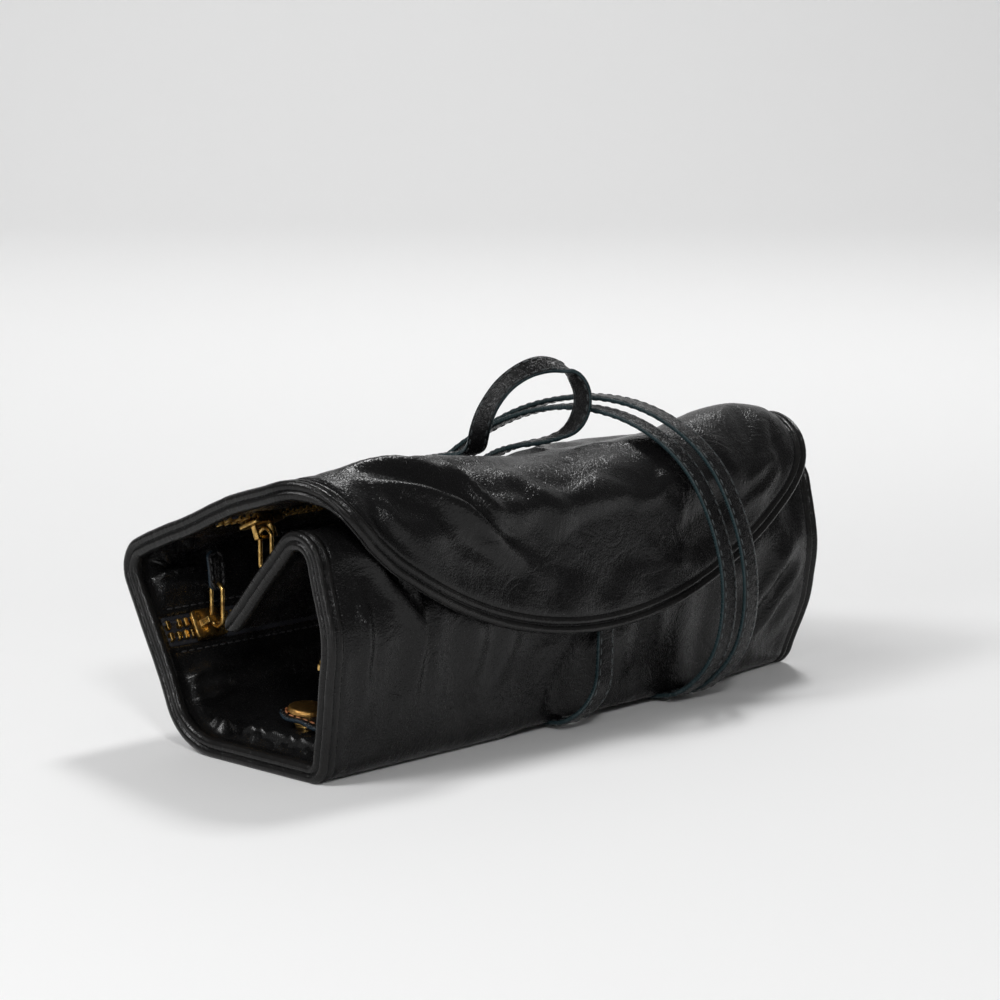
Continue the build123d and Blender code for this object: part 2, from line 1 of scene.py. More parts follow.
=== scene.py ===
# %% [markdown]
# # A soft leather brush roll case
#
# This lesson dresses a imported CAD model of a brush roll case, rolled up and standing on a pale
# floor. The CAD gives the sizes, the bodies and the joints. Blender gives the leather its folds,
# the seams their rolled edges and the zips their brass. The scene is in metres. Shapes are worked
# out in millimetres, and times MM they are in metres.

import math

import bpy
import numpy as np
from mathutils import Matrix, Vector
from mathutils.kdtree import KDTree


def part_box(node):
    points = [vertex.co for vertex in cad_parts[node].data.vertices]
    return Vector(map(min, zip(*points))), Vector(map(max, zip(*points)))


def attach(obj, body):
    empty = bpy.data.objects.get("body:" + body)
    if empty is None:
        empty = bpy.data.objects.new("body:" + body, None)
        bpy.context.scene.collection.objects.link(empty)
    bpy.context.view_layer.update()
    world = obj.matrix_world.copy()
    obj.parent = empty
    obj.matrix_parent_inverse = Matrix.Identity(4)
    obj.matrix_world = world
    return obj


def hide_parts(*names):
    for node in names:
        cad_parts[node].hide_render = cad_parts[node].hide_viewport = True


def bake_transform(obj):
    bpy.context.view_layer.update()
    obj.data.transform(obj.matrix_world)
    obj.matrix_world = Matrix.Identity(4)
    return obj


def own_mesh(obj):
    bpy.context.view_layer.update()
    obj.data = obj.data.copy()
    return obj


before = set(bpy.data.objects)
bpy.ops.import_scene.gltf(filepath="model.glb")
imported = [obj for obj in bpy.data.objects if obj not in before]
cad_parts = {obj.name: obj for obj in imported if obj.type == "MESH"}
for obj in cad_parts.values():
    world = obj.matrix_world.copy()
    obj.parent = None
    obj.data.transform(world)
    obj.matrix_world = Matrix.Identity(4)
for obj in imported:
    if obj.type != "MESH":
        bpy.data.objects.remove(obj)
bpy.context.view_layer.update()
MM = 0.001

# %% [markdown]
# ## Camera
#
# The photograph looks down by 9 degrees at the near left corner, through a long lens that keeps
# the far end nearly as large as the near one. The camera stands where the case's corners fall on
# their places in the photograph.

# %% Camera
view_tilt, view_turn = math.radians(81), math.radians(46)
bpy.ops.object.camera_add(
    location=(-0.6231, -0.6031, 0.2021), rotation=(view_tilt, 0, -view_turn)
)
camera = bpy.context.object
camera.name = "camera"
camera.data.lens = 100.8
camera.data.sensor_width = 36
bpy.context.scene.camera = camera
print("camera lens, mm:", camera.data.lens)

# %% [markdown]
# ## Floor, backdrop and light
#
# The case stands on a pale sweep: a floor that curves up into a wall far behind. Black leather
# shows its form only by what it mirrors. So a small bright lamp hangs high behind the case and
# runs along its crest and folds, one low at the left reaches into the open end, one near the
# camera touches the rolled edges, and one stands for the window. Soft daylight from the left
# casts the shadow at the right, and a broad lamp lights the wall.

# %% Sweep
floor_depth, sweep_radius, sweep_steps, wall_height = 5, 1.2, 16, 4
bpy.ops.mesh.primitive_plane_add(size=1, location=(0, 0, 0))
floor = bpy.context.object
floor.name = "floor"
bpy.ops.object.mode_set(mode="EDIT")
bpy.ops.transform.resize(value=(9, floor_depth, 1))
bpy.ops.mesh.select_all(action="DESELECT")
bpy.ops.mesh.select_mode(type="EDGE")
bpy.ops.object.mode_set(mode="OBJECT")
for edge in floor.data.edges:
    edge.select = all(floor.data.vertices[v].co.y > floor_depth / 2 - 0.1 for v in edge.vertices)
bpy.ops.object.mode_set(mode="EDIT")
for step in range(sweep_steps):
    slope = math.radians(90) * (step + 0.5) / sweep_steps
    stride = sweep_radius * math.radians(90) / sweep_steps
    move = (0, stride * math.cos(slope), stride * math.sin(slope))
    bpy.ops.mesh.extrude_region_move(TRANSFORM_OT_translate={"value": move})
bpy.ops.mesh.extrude_region_move(TRANSFORM_OT_translate={"value": (0, 0, wall_height)})
bpy.ops.mesh.select_all(action="SELECT")
bpy.ops.transform.rotate(value=view_turn, orient_axis="Z", center_override=(0, 0, 0))
bpy.ops.object.mode_set(mode="OBJECT")
bpy.ops.object.shade_smooth()
floor_paint = bpy.data.materials.new("floor_paint")
floor_paint.use_nodes = True
floor_shader = floor_paint.node_tree.nodes["Principled BSDF"].inputs
floor_shader["Base Color"].default_value = (0.86, 0.86, 0.86, 1)
floor_shader["Roughness"].default_value = 0.9
floor_shader["Specular IOR Level"].default_value = 0.1
floor.data.materials.append(floor_paint)
print("sweep faces:", len(floor.data.polygons))

# %% Lamps
def aim(start, target):
    """The turn that points a lamp from a start to a target."""
    return (Vector(target) - Vector(start)).to_track_quat("-Z", "Y").to_euler()


bpy.ops.object.light_add(type="SUN", rotation=aim((-1.0, 0.35, 1.5), (0, 0, 0)))
daylight = bpy.context.object
daylight.name = "daylight"
daylight.data.angle, daylight.data.energy = math.radians(28), 0.47
for name, start, target, size, power in (
    ("window_lamp", (-1.0, 0.3, 1.05), (0, 0, 0.05), 0.4, 6.5),
    ("near_lamp", (-0.75, -1.0, 0.8), (0, 0, 0.05), 0.2, 5),
    ("crest_lamp", (0.85, 0.35, 1.65), (0, 0, 0.05), 0.32, 13),
    ("end_lamp", (-1.25, -0.35, 0.3), (-0.08, 0, 0.05), 0.22, 2.4),
    ("wall_lamp", (0.7, 0.9, 2.6), (2.4, 3.0, 1.6), 1.5, 48),
):
    bpy.ops.object.light_add(type="AREA", location=start, rotation=aim(start, target))
    lamp = bpy.context.object
    lamp.name, lamp.data.shape = name, "SQUARE"
    lamp.data.size, lamp.data.energy = size, power

# %% World
world = bpy.context.scene.world or bpy.data.worlds.new("studio")
bpy.context.scene.world = world
world.use_nodes = True
world_grey = world.node_tree.nodes["Background"].inputs
world_grey["Color"].default_value = (1, 1, 1, 1)
world_grey["Strength"].default_value = 0.15
bpy.context.scene.view_settings.view_transform = "Standard"

# %% [markdown]
# ## Finishes shared by several materials
#
# Leather, lining, rolled edges, lace and tab are all the same dyed hide, so its fine grain and its
# soft creases are node groups, built once and placed in each material with its own numbers. A
# group only gives heights and masks. The shader stays in the material.


# %% Node helpers
def add_node(tree, kind, settings=None, **values):
    """A node with its settings, and numbers for its inputs by name."""
    node = tree.nodes.new("ShaderNode" + kind)
    for name, value in (settings or {}).items():
        setattr(node, name, value)
    for name, value in values.items():
        node.inputs[name.replace("_", " ")].default_value = value
    return node


def new_group(name, number, value, outputs):
    """A group that reads a place and a number: its tree, both, and the inputs of its end."""
    group = bpy.data.node_groups.new(name, "ShaderNodeTree")
    group.interface.new_socket(name="Place", in_out="INPUT", socket_type="NodeSocketVector")
    socket = group.interface.new_socket(name=number, in_out="INPUT", socket_type="NodeSocketFloat")
    socket.default_value = value
    for label in outputs:
        group.interface.new_socket(name=label, in_out="OUTPUT", socket_type="NodeSocketFloat")
    start, end = group.nodes.new("NodeGroupInput"), group.nodes.new("NodeGroupOutput")
    return group, start.outputs["Place"], start.outputs[number], end.inputs


def new_material(name):
    """A material, its node tree and the inputs of its shader."""
    material = bpy.data.materials.new(name)
    material.use_nodes = True
    return material, material.node_tree, material.node_tree.nodes["Principled BSDF"].inputs


def maths(tree, operation, *sources, clamp=False):
    """A maths node on sources, each a socket or a number."""
    node = add_node(tree, "Math", {"operation": operation, "use_clamp": clamp})
    for socket, source in zip(node.inputs, sources):
        if isinstance(source, (int, float)):
            socket.default_value = source
        else:
            tree.links.new(source, socket)
    return node.outputs[0]


def ranged(tree, source, low, high, to_low=0.0, to_high=1.0):
    """A source's range mapped evenly to another."""
    node = add_node(tree, "MapRange", From_Min=low, From_Max=high, To_Min=to_low, To_Max=to_high)
    tree.links.new(source, node.inputs["Value"])
    return node.outputs["Result"]


def texture(tree, kind, at, scale, settings=None, **values):
    """The outputs of a texture that is read at a place and a scale."""
    node = add_node(tree, "Tex" + kind, settings, **values)
    tree.links.new(at, node.inputs["Vector"])
    tree.links.new(scale, node.inputs["Scale"])
    return node.outputs


def mixed(tree, mask, first, second):
    """A colour between two, each three numbers or a socket, by a mask."""
    node = add_node(tree, "Mix", {"data_type": "RGBA"})
    tree.links.new(mask, node.inputs[0])
    for socket, source in zip(node.inputs[6:8], (first, second)):
        if isinstance(source, tuple):
            socket.default_value = (*source, 1)
        else:
            tree.links.new(source, socket)
    return node.outputs[2]


def bumped(tree, height, strength, depth, under=None):
    """The surface's direction with a height of this many mm on it."""
    bump = add_node(tree, "Bump", Strength=strength, Distance=depth * MM)
    tree.links.new(height, bump.inputs["Height"])
    if under:
        tree.links.new(under, bump.inputs["Normal"])
    return bump.outputs["Normal"]


def flat_map(tree):
    """Places on the flat leather or tape, in mm."""
    return add_node(tree, "UVMap", {"uv_map": "flat_mm"}).outputs["UV"]

# %% Hide grain
tree, at, size, gives = new_group("hide_grain", "Pebble Size", 1.0, ("Height", "Pores"))
hide_grain, scale = tree, maths(tree, "DIVIDE", 1.0, size)
pebbles = texture(tree, "Voronoi", at, scale, {"feature": "SMOOTH_F1"}, Smoothness=0.35)
cracks = texture(tree, "Voronoi", at, scale, {"feature": "DISTANCE_TO_EDGE"})
pores = texture(tree, "Noise", at, maths(tree, "MULTIPLY", scale, 1.7), Detail=3.0, Roughness=0.6)
crack_height = ranged(tree, cracks["Distance"], 0.0, 0.16)
pebble_height = maths(tree, "SUBTRACT", 1.0, pebbles["Distance"])
grain_height = maths(tree, "MULTIPLY", crack_height, pebble_height)
pore_height = maths(tree, "MULTIPLY", pores["Fac"], 0.6)
tree.links.new(maths(tree, "ADD", grain_height, pore_height), gives["Height"])
tree.links.new(pores["Fac"], gives["Pores"])

# %% Soft creases
tree, at, size, gives = new_group("soft_creases", "Crease Size", 12.0, ("Height", "Rub"))
soft_creases, scale = tree, maths(tree, "DIVIDE", 1.0, size)
lines = texture(tree, "Noise", at, scale, Detail=4.0, Roughness=0.55, Distortion=1.2)
rubs = texture(tree, "Noise", at, maths(tree, "MULTIPLY", scale, 0.4), Detail=2.0, Roughness=0.5)
off_middle = maths(tree, "ABSOLUTE", maths(tree, "SUBTRACT", lines["Fac"], 0.5))
tree.links.new(ranged(tree, off_middle, 0.0, 0.09), gives["Height"])
tree.links.new(ranged(tree, rubs["Fac"], 0.4, 0.65), gives["Rub"])

# %% Hide materials
def hide_material(name, dark, rubbed, rough, pebble, crease, coat=0.0):
    """Dyed hide from its colours, its roughness, and the size and depth of pebbles and creases."""
    material, tree, shader = new_material(name)
    grain = add_node(tree, "Group", {"node_tree": hide_grain}, Pebble_Size=pebble[0])
    creases = add_node(tree, "Group", {"node_tree": soft_creases}, Crease_Size=crease[0])
    at = flat_map(tree)
    for group in (grain, creases):
        tree.links.new(at, group.inputs["Place"])
    worn = add_node(tree, "Attribute", {"attribute_name": "wear"}).outputs["Fac"]
    rub = maths(tree, "MULTIPLY", creases.outputs["Rub"], 0.35)
    rub = maths(tree, "ADD", rub, maths(tree, "MULTIPLY", worn, 0.5), clamp=True)
    pore_rough = ranged(tree, grain.outputs["Pores"], 0.3, 0.7, rough + 0.08, rough - 0.05)
    roughness = maths(tree, "SUBTRACT", pore_rough, maths(tree, "MULTIPLY", rub, 0.12))
    creased = bumped(tree, creases.outputs["Height"], 1.0, crease[1])
    grained = bumped(tree, grain.outputs["Height"], 1.0, pebble[1], creased)
    tree.links.new(mixed(tree, rub, dark, rubbed), shader["Base Color"])
    tree.links.new(roughness, shader["Roughness"])
    tree.links.new(grained, shader["Normal"])
    shader["Specular IOR Level"].default_value = 0.24
    shader["Coat Weight"].default_value, shader["Coat Roughness"].default_value = coat, 0.25
    return material


def add_raw_edge(material, raw):
    """Colour a hide's cut edge, where the attribute raw_edge is 1."""
    tree = material.node_tree
    base = tree.nodes["Principled BSDF"].inputs["Base Color"]
    cut = add_node(tree, "Attribute", {"attribute_name": "raw_edge"}).outputs["Fac"]
    tree.links.new(mixed(tree, ranged(tree, cut, 0.3, 0.8), base.links[0].from_socket, raw), base)


black, rubbed_black = (0.0042, 0.0041, 0.0043), (0.009, 0.0087, 0.0087)
lining_black, rubbed_rim = (0.0065, 0.0065, 0.0067), (0.012, 0.0115, 0.011)
rubbed_lace, rubbed_trim = (0.02, 0.02, 0.021), (0.018, 0.017, 0.017)
outer_leather = hide_material("outer_leather", black, rubbed_black, 0.27, (0.9, 0.06), (14.0, 0.09))
lining_leather = hide_material(
    "lining_leather", lining_black, rubbed_black, 0.26, (0.9, 0.06), (9.0, 0.08), 0.3
)
rim_leather = hide_material("rim_leather", black, rubbed_rim, 0.24, (0.8, 0.04), (6.0, 0.04))
lace_leather = hide_material("lace_leather", black, rubbed_lace, 0.26, (0.8, 0.08), (5.0, 0.1))
trim_leather = hide_material("trim_leather", black, rubbed_trim, 0.26, (0.7, 0.12), (4.0, 0.1), 0.1)
add_raw_edge(lace_leather, (0.016, 0.03, 0.034))
add_raw_edge(trim_leather, (0.012, 0.022, 0.032))

# %% [markdown]
# ## Brass, woven tape and thread
#
# The zips and the snap are old brass, bright where hands and slider rub it and brown in the
# hollows. The tape is a tight black weave, and the thread is waxed. The brass reads Object
# coordinates, because its patches don't follow the surface. The weave reads the tape's own map.

# %% Tarnish
tree, at, spots, gives = new_group("tarnish", "Spots Per Metre", 400.0, ("Brown", "Height"))
tarnish, scuff_scale = tree, maths(tree, "MULTIPLY", spots, 3.5)
stains = texture(tree, "Noise", at, spots, Detail=4.0, Roughness=0.65)
scuffs = texture(tree, "Noise", at, scuff_scale, Detail=2.0, Roughness=0.5, Distortion=2.0)
tree.links.new(ranged(tree, stains["Fac"], 0.42, 0.68), gives["Brown"])
tree.links.new(scuffs["Fac"], gives["Height"])

# %% Metal and thread materials
def brass_material(name, bright, brown, rough, spots):
    """Old brass: its colour where rubbed and where brown, its gloss, and its scuffs."""
    material, tree, shader = new_material(name)
    worn = add_node(tree, "Group", {"node_tree": tarnish}, Spots_Per_Metre=spots)
    tree.links.new(add_node(tree, "TexCoord").outputs["Object"], worn.inputs["Place"])
    stain = worn.outputs["Brown"]
    tree.links.new(mixed(tree, stain, bright, brown), shader["Base Color"])
    tree.links.new(ranged(tree, stain, 0.0, 1.0, rough, rough + 0.2), shader["Roughness"])
    tree.links.new(bumped(tree, worn.outputs["Height"], 0.5, 0.03), shader["Normal"])
    shader["Metallic"].default_value = 1.0
    return material


def woven_material(name, colour, lighter, thread_size, rough):
    """A tight weave of threads, or the twist of one, over a piece's own map."""
    material, tree, shader = new_material(name)
    parts = add_node(tree, "SeparateXYZ")
    tree.links.new(flat_map(tree), parts.inputs[0])
    turns = [maths(tree, "MULTIPLY", parts.outputs[k], math.pi / thread_size) for k in (0, 1)]
    over, under = (maths(tree, "SINE", turn) for turn in turns)
    weave = ranged(tree, maths(tree, "MULTIPLY", over, under), -1.0, 1.0)
    tree.links.new(mixed(tree, weave, colour, lighter), shader["Base Color"])
    tree.links.new(bumped(tree, weave, 0.8, 0.08), shader["Normal"])
    shader["Roughness"].default_value = rough
    return material


zip_brass = brass_material("zip_brass", (0.62, 0.40, 0.13), (0.20, 0.11, 0.035), 0.26, 450.0)
cap_brass = brass_material("cap_brass", (0.66, 0.38, 0.12), (0.34, 0.18, 0.06), 0.32, 250.0)
zip_weave = woven_material("zip_weave", (0.006, 0.007, 0.011), (0.02, 0.022, 0.03), 0.5, 0.7)
dark_thread = woven_material("dark_thread", (0.012, 0.012, 0.013), (0.05, 0.05, 0.052), 0.4, 0.45)
lace_thread = woven_material("lace_thread", (0.012, 0.014, 0.015), (0.045, 0.055, 0.058), 0.4, 0.5)
tab_thread = woven_material("tab_thread", (0.22, 0.07, 0.025), (0.5, 0.2, 0.08), 0.4, 0.5)
print("materials:", len(bpy.data.materials))


# %% Line helpers
def unit(vectors):
    """Vectors with their lengths made 1."""
    return vectors / np.linalg.norm(vectors, axis=-1, keepdims=True)


def square_to(vectors, onward):
    """Vectors turned square to a line's direction at each of its points."""
    return unit(vectors - (vectors * onward).sum(1)[:, None] * onward)


def reach_along(points):
    """How far each of a line's points is along it."""
    return np.concatenate([[0], np.cumsum(np.linalg.norm(np.diff(points, axis=0), axis=1))])


def read_at(places, known, values):
    """Columns of values, known at some places, read at others."""
    return np.stack([np.interp(places, known, column) for column in values.T], -1)


def smooth_step(low, high, value):
    """0 below low, 1 above high, and an even rise between them."""
    t = np.clip((value - low) / (high - low), 0, 1)
    return t * t * (3 - 2 * t)


def between(low, rise, fall, high, value):
    """1 from rise to fall, 0 below low and above high, and an even slope on both sides."""
    return smooth_step(low, rise, value) * (1 - smooth_step(fall, high, value))


def swell(value, middle, width):
    """1 where a value is at the middle, and less and less a width or more away."""
    return np.exp(-(((value - middle) / width) ** 2))

# %% [markdown]
# ## The lace's line
#
# The lace is one long flat strip of leather. It is sewn under the flap, goes twice round the roll
# and up the back a third time, stands up at the top in a loop, and is tucked in at the back. Its
# line is one smooth curve through the route's points. A curve of order three keeps near the
# points without passing through them, as a strip of leather does.

# %% Lace route
lace_route = [
    (1.5, -44.98, 39.58), (1.0, -44.93, 30.02), (-1.5, -47.3, 22), (-6, -50.5, 13),
    (-11, -47.5, 5.5), (-14, -38.5, 1.1), (-2, 22.5, 1.1), (8, 36.5, 6), (14, 49.7, 23),
    (17, 55.2, 45), (18, 49.7, 64), (20.5, 34.7, 77.5), (25, 16.7, 88), (30, -4.3, 93),
    (35, -26.3, 90), (39.5, -45.3, 78), (42.5, -54.8, 59), (43.8, -59.3, 39), (43, -57.3, 19),
    (40.5, -48.5, 6), (36.5, -38.5, 1.1), (33, 22.5, 1.1), (28.5, 37.5, 6), (24.5, 51.2, 23),
    (24.2, 57.7, 45), (25.5, 52.2, 65), (28.5, 36.7, 79.5), (33, 17.7, 90.5),
    (38, -4.3, 95.5), (43, -27.3, 92.5), (47.5, -47.3, 80), (50.5, -57.3, 60),
    (51.5, -61.8, 39), (50.8, -59.3, 19), (48.5, -49.3, 6), (44.5, -38.5, 1.1),
    (41, 22.5, 1.1), (36, 40.5, 7), (28, 57.2, 22), (17, 62.7, 43), (6, 53.7, 62),
    (1.6, 50.1, 69.6), (-0.5, 37.7, 73.5), (-1, 22, 77), (-1.8, 7.5, 79), (-4.5, 3.1, 87.4),
    (-2.1, 1.4, 95), (3.9, -1.1, 102.5), (13.2, -5, 107.1), (21.9, -8.5, 105.9),
    (25.5, -12.8, 99.8), (25.7, -13, 92.2), (24.2, -9.6, 85.5), (18.5, -4.4, 82.1),
    (10.7, 0.3, 81.2), (11.5, 9, 78.5), (14.5, 20, 73.6), (15.5, 32, 68), (17.5, 43, 62.6),
]
lace_curve = bpy.data.curves.new("lace_line", "CURVE")
lace_curve.dimensions = "3D"
lace_spline = lace_curve.splines.new("NURBS")
lace_spline.points.add(len(lace_route) - 1)
for point, (across, back, up) in zip(lace_spline.points, lace_route):
    point.co = (across * MM, back * MM, up * MM, 1)
lace_spline.order_u = 3
lace_spline.use_endpoint_u = True
lace_spline.resolution_u = 14
lace_line_object = bpy.data.objects.new("lace_line", lace_curve)
bpy.context.scene.collection.objects.link(lace_line_object)
lace_line_mesh = bpy.data.meshes.new_from_object(lace_line_object)
lace_path = np.array([v.co for v in lace_line_mesh.vertices])
bpy.data.objects.remove(lace_line_object)
lace_along = reach_along(lace_path)
print("lace line, mm:", round(lace_along[-1] / MM, 1), "points:", len(lace_path))


# %% [markdown]
# ## Meshes from a grid of points
#
# Leather panels, the lace and the pocket are sheets: rows and columns of points. One helper turns
# such a grid into a mesh, with a map of the flat leather in it, so that grain and stitches follow
# the surface.


# %% Grid helper
def grid_faces(rows, columns, start=0, closed=0):
    """Corner numbers of the faces between the rows and columns of a grid."""
    row, column = np.meshgrid(np.arange(rows - 1), np.arange(columns - 1 + closed), indexing="ij")
    here, after = row * columns + column, row * columns + (column + 1) % columns
    return start + np.stack([here, after, after + columns, here + columns], -1).reshape(-1, 4)


def add_mesh(name, points, faces, flat=None, material=None):
    """A mesh object from points and faces. The flat places, in mm, become its map."""
    mesh = bpy.data.meshes.new(name)
    mesh.from_pydata(np.asarray(points).tolist(), [], [list(map(int, face)) for face in faces])
    mesh.polygons.foreach_set("use_smooth", [True] * len(mesh.polygons))
    if flat is not None:
        corner = np.zeros(len(mesh.loops), np.int32)
        mesh.loops.foreach_get("vertex_index", corner)
        mapped = mesh.uv_layers.new(name="flat_mm")
        mapped.uv.foreach_set("vector", np.asarray(flat, np.float32)[corner].ravel())
    mesh.validate()
    if material:
        mesh.materials.append(material)
    made = bpy.data.objects.new(name, mesh)
    bpy.context.scene.collection.objects.link(made)
    return made


def add_tube(name, points, flat, material):
    """A piece from its sections' points, its ends closed."""
    count, sides = points.shape[:2]
    faces = grid_faces(count, sides, closed=1).tolist()
    faces += [list(range(sides))[::-1], list(range((count - 1) * sides, count * sides))]
    return add_mesh(name, points.reshape(-1, 3), faces, flat.reshape(-1, 2), material)


def set_values(piece, name, values):
    """A number on each vertex of a piece, for its materials to read."""
    attribute = piece.data.attributes.new(name, "FLOAT", "POINT")
    attribute.data.foreach_set("value", np.asarray(values, np.float32).ravel())


def edit_all(piece):
    """Open a piece for editing, the only one selected, with all its faces selected."""
    bpy.ops.object.select_all(action="DESELECT")
    piece.select_set(True)
    bpy.context.view_layer.objects.active = piece
    bpy.ops.object.mode_set(mode="EDIT")
    bpy.ops.mesh.select_all(action="SELECT")

# %% [markdown]
# ## Lace
#
# The lace is a folded strip, 6.5 mm wide and 1.6 mm thick, with a row of stitches along each side
# and raw dyed edges. It could be a bevelled curve, but a curve turns its section as it likes. So
# its section is set square to the line at each of its points, with the broad side along the roll,
# turning only in the standing loop, as it does in the CAD.

# %% Lace ribbon
lace_across = 6.5
lace_width, lace_thickness = lace_across * MM, 1.6 * MM
section_across = np.array([-1, -0.97, -0.86, -0.55, 0, 0.55, 0.86, 0.97, 1]) / 2
section_up = np.array([0.1, 0.36, 0.44, 0.5, 0.56, 0.5, 0.44, 0.36, 0.1])
section = np.concatenate(
    [np.stack([section_across, section_up], 1), np.stack([section_across, -section_up], 1)[::-1]]
)
broad_at = np.tile((1.0, 0.0, 0.0), (len(lace_route), 1))
broad_at[-15:] = [
    (0.8, -0.5, 0), (0.5, -0.85, 0), (0.3, -0.95, 0), (0.25, -0.9, -0.3), (0.25, -0.75, -0.6),
    (0.2, -0.85, -0.5), (0.15, -0.95, -0.2), (0.12, -0.99, 0), (-0.1, -0.99, 0),
    (-0.6, -0.8, 0), (-0.95, -0.3, 0), (-1, 0, 0), (-1, 0, 0), (-1, 0, 0), (-1, 0, 0),
]
span = np.arange(len(lace_path)) / (len(lace_path) - 1) * (len(lace_route) - 2)
onward = unit(np.gradient(lace_path, axis=0))
broad = square_to(read_at(span, np.arange(len(lace_route)) - 0.5, broad_at), onward)
outward = unit(np.cross(broad, onward))
lace_points = (
    lace_path[:, None]
    + section[None, :, :1] * lace_width * broad[:, None]
    + section[None, :, 1:] * lace_thickness * outward[:, None]
)
lace_places = (section[None, :, 0] * lace_across, lace_along[:, None] / MM)
lace_flat = np.stack(np.broadcast_arrays(*lace_places), -1)
lace = add_tube("lace", lace_points, lace_flat, lace_leather)
set_values(lace, "raw_edge", np.tile(np.abs(section[:, 0]) > 0.47, len(lace_path)))
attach(lace, "bottom")
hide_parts("lace_turns", "lace_loop")
print("lace faces:", len(lace.data.polygons))


# %% [markdown]
# ## Stitches
#
# A hand stitch is a short thread that sinks at both ends. One is modelled, from a coarse ball
# drawn out along its length, and copied along each seam. The same helper copies the zips' teeth.

# %% Copies of a shape
def take_shape():
    """Points and faces of the active object, which is then removed."""
    model = bpy.context.object
    points = np.array([v.co for v in model.data.vertices])
    faces = [list(face.vertices) for face in model.data.polygons]
    bpy.data.objects.remove(model)
    return points, faces


def copies(shape, places, forward, up):
    """A shape copied to places, its x turned along forward and its z along up."""
    points, faces = shape
    axes = (forward, np.cross(up, forward), up)
    turned = sum(points[None, :, k : k + 1] * axes[k][:, None] for k in range(3)) + places[:, None]
    starts = range(0, len(places) * len(points), len(points))
    return turned.reshape(-1, 3), [[v + start for v in face] for start in starts for face in faces]


def merged(shapes):
    """The points and faces of several shapes as those of one."""
    points, faces = [], []
    for shape_points, shape_faces in shapes:
        start = sum(map(len, points))
        points.append(shape_points)
        faces += [[v + start for v in face] for face in shape_faces]
    return np.concatenate(points), faces


def stitch_row(line, up, pitch):
    """Stitches at a pitch along a line of points, standing on the side that up gives."""
    reach = reach_along(line)
    at = np.arange(pitch / 2, reach[-1], pitch)
    forward = unit(read_at(at, reach, np.gradient(line, axis=0)))
    upward = square_to(read_at(at, reach, np.broadcast_to(up, line.shape)), forward)
    return copies(stitch, read_at(at, reach, line), forward, upward)


def add_stitches(name, rows_of_stitches, material):
    """One piece that holds several rows of stitches, in metres from mm."""
    points, faces = merged(rows_of_stitches)
    return add_mesh(name, points * MM, faces, points[:, [0, 2]], material)


bpy.ops.object.select_all(action="DESELECT")
bpy.ops.mesh.primitive_uv_sphere_add(segments=6, ring_count=5, radius=1)
bpy.ops.object.mode_set(mode="EDIT")
bpy.ops.transform.rotate(value=math.pi / 2, orient_axis="Y", center_override=(0, 0, 0))
bpy.ops.transform.resize(value=(1.15, 0.32, 0.27))
bpy.ops.object.mode_set(mode="OBJECT")
stitch = take_shape()
print("stitch faces:", len(stitch[1]))

# %% Lace stitches
seam_aside, seam_up, plain_end = 2.35, 0.72, 4
lace_rows = []
for face in (-1, 1):
    for side in (-1, 1):
        line = lace_path / MM + side * seam_aside * broad + face * seam_up * outward
        sewn = slice(plain_end, -plain_end)
        lace_rows.append(stitch_row(line[sewn], face * outward[sewn], 3.3))
lace_stitches = add_stitches("lace_stitches", lace_rows, lace_thread)
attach(lace_stitches, "bottom")
for piece in (lace, lace_stitches):
    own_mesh(piece)
print("lace stitches:", len(lace_stitches.data.polygons) // len(stitch[1]))


# %% [markdown]
# ## The leather's line
#
# The case is one long panel of leather, rolled up over seven bends. Seen from its end, the
# leather's outer face is a line from the tip of the inner curl, over the curl, down the front,
# along the bottom, up the slanted back, over the top and down the flap. The corners below are the
# CAD's, and each bend is an arc. A place on the leather is then two numbers, across the roll and
# along this line, and a depth under the outer face.

# %% Section line
section_corners = (
    (1.2, 44.0), (-34.3, 82.0), (-42.8, 42.0), (-38.3, 0.0), (23.7, 0.0),
    (52.7, 56.0), (-1.3, 79.5), (-42.8, 89.5), (-49.3, 30.5),
)
section_corners = np.array(section_corners)
section_radii = [10.0, 40.0, 6.5, 24.0, 9.5, 85.0, 21.0]
fold_names = ["curl", "bulge", "front", "back", "top", "crown", "flap"]
arc_steps = 40


def rounded_line(corners, radii):
    """The rounded line as close points with their inward directions, and each fold's middle."""
    points, inwards, middles = [corners[0]], [], {}
    triples = zip(fold_names, corners, corners[1:], corners[2:], radii)
    for name, before, at, after, radius in triples:
        to_before, to_after = unit(before - at), unit(after - at)
        half = math.acos(np.clip(to_before @ to_after, -1, 1)) / 2
        bisector = unit(to_before + to_after)
        centre = at + bisector * radius / math.sin(half)
        if not inwards:
            inwards.append(np.array([to_before[1], -to_before[0]]))
        start = at + to_before * radius / math.tan(half) - centre
        turn = math.pi - 2 * half
        for step in range(arc_steps + 1):
            angle = turn * step / arc_steps
            cos, sin = math.cos(angle), math.sin(angle)
            spun = np.array([start[0] * cos - start[1] * sin, start[0] * sin + start[1] * cos])
            points.append(centre + spun)
            inwards.append(-spun / radius)
        middles[name] = (centre - bisector * radius, centre, radius)
    points.append(corners[-1])
    inwards.append(inwards[-1])
    return np.array(points), np.array(inwards), middles


line_points, line_inwards, fold_middles = rounded_line(section_corners, section_radii)
line_along = reach_along(line_points)
line_length = line_along[-1]
tip_reach = 6.0
tip_onward = (line_points[1] - line_points[0]) / line_along[1]
line_points = np.concatenate([[line_points[0] - tip_reach * tip_onward], line_points])
line_inwards = np.concatenate([line_inwards[:1], line_inwards])
line_along = np.concatenate([[-tip_reach], line_along])


def along_at(point):
    """The distance along the section line of its point nearest to a point."""
    return line_along[np.argmin(np.linalg.norm(line_points - point, axis=1))]


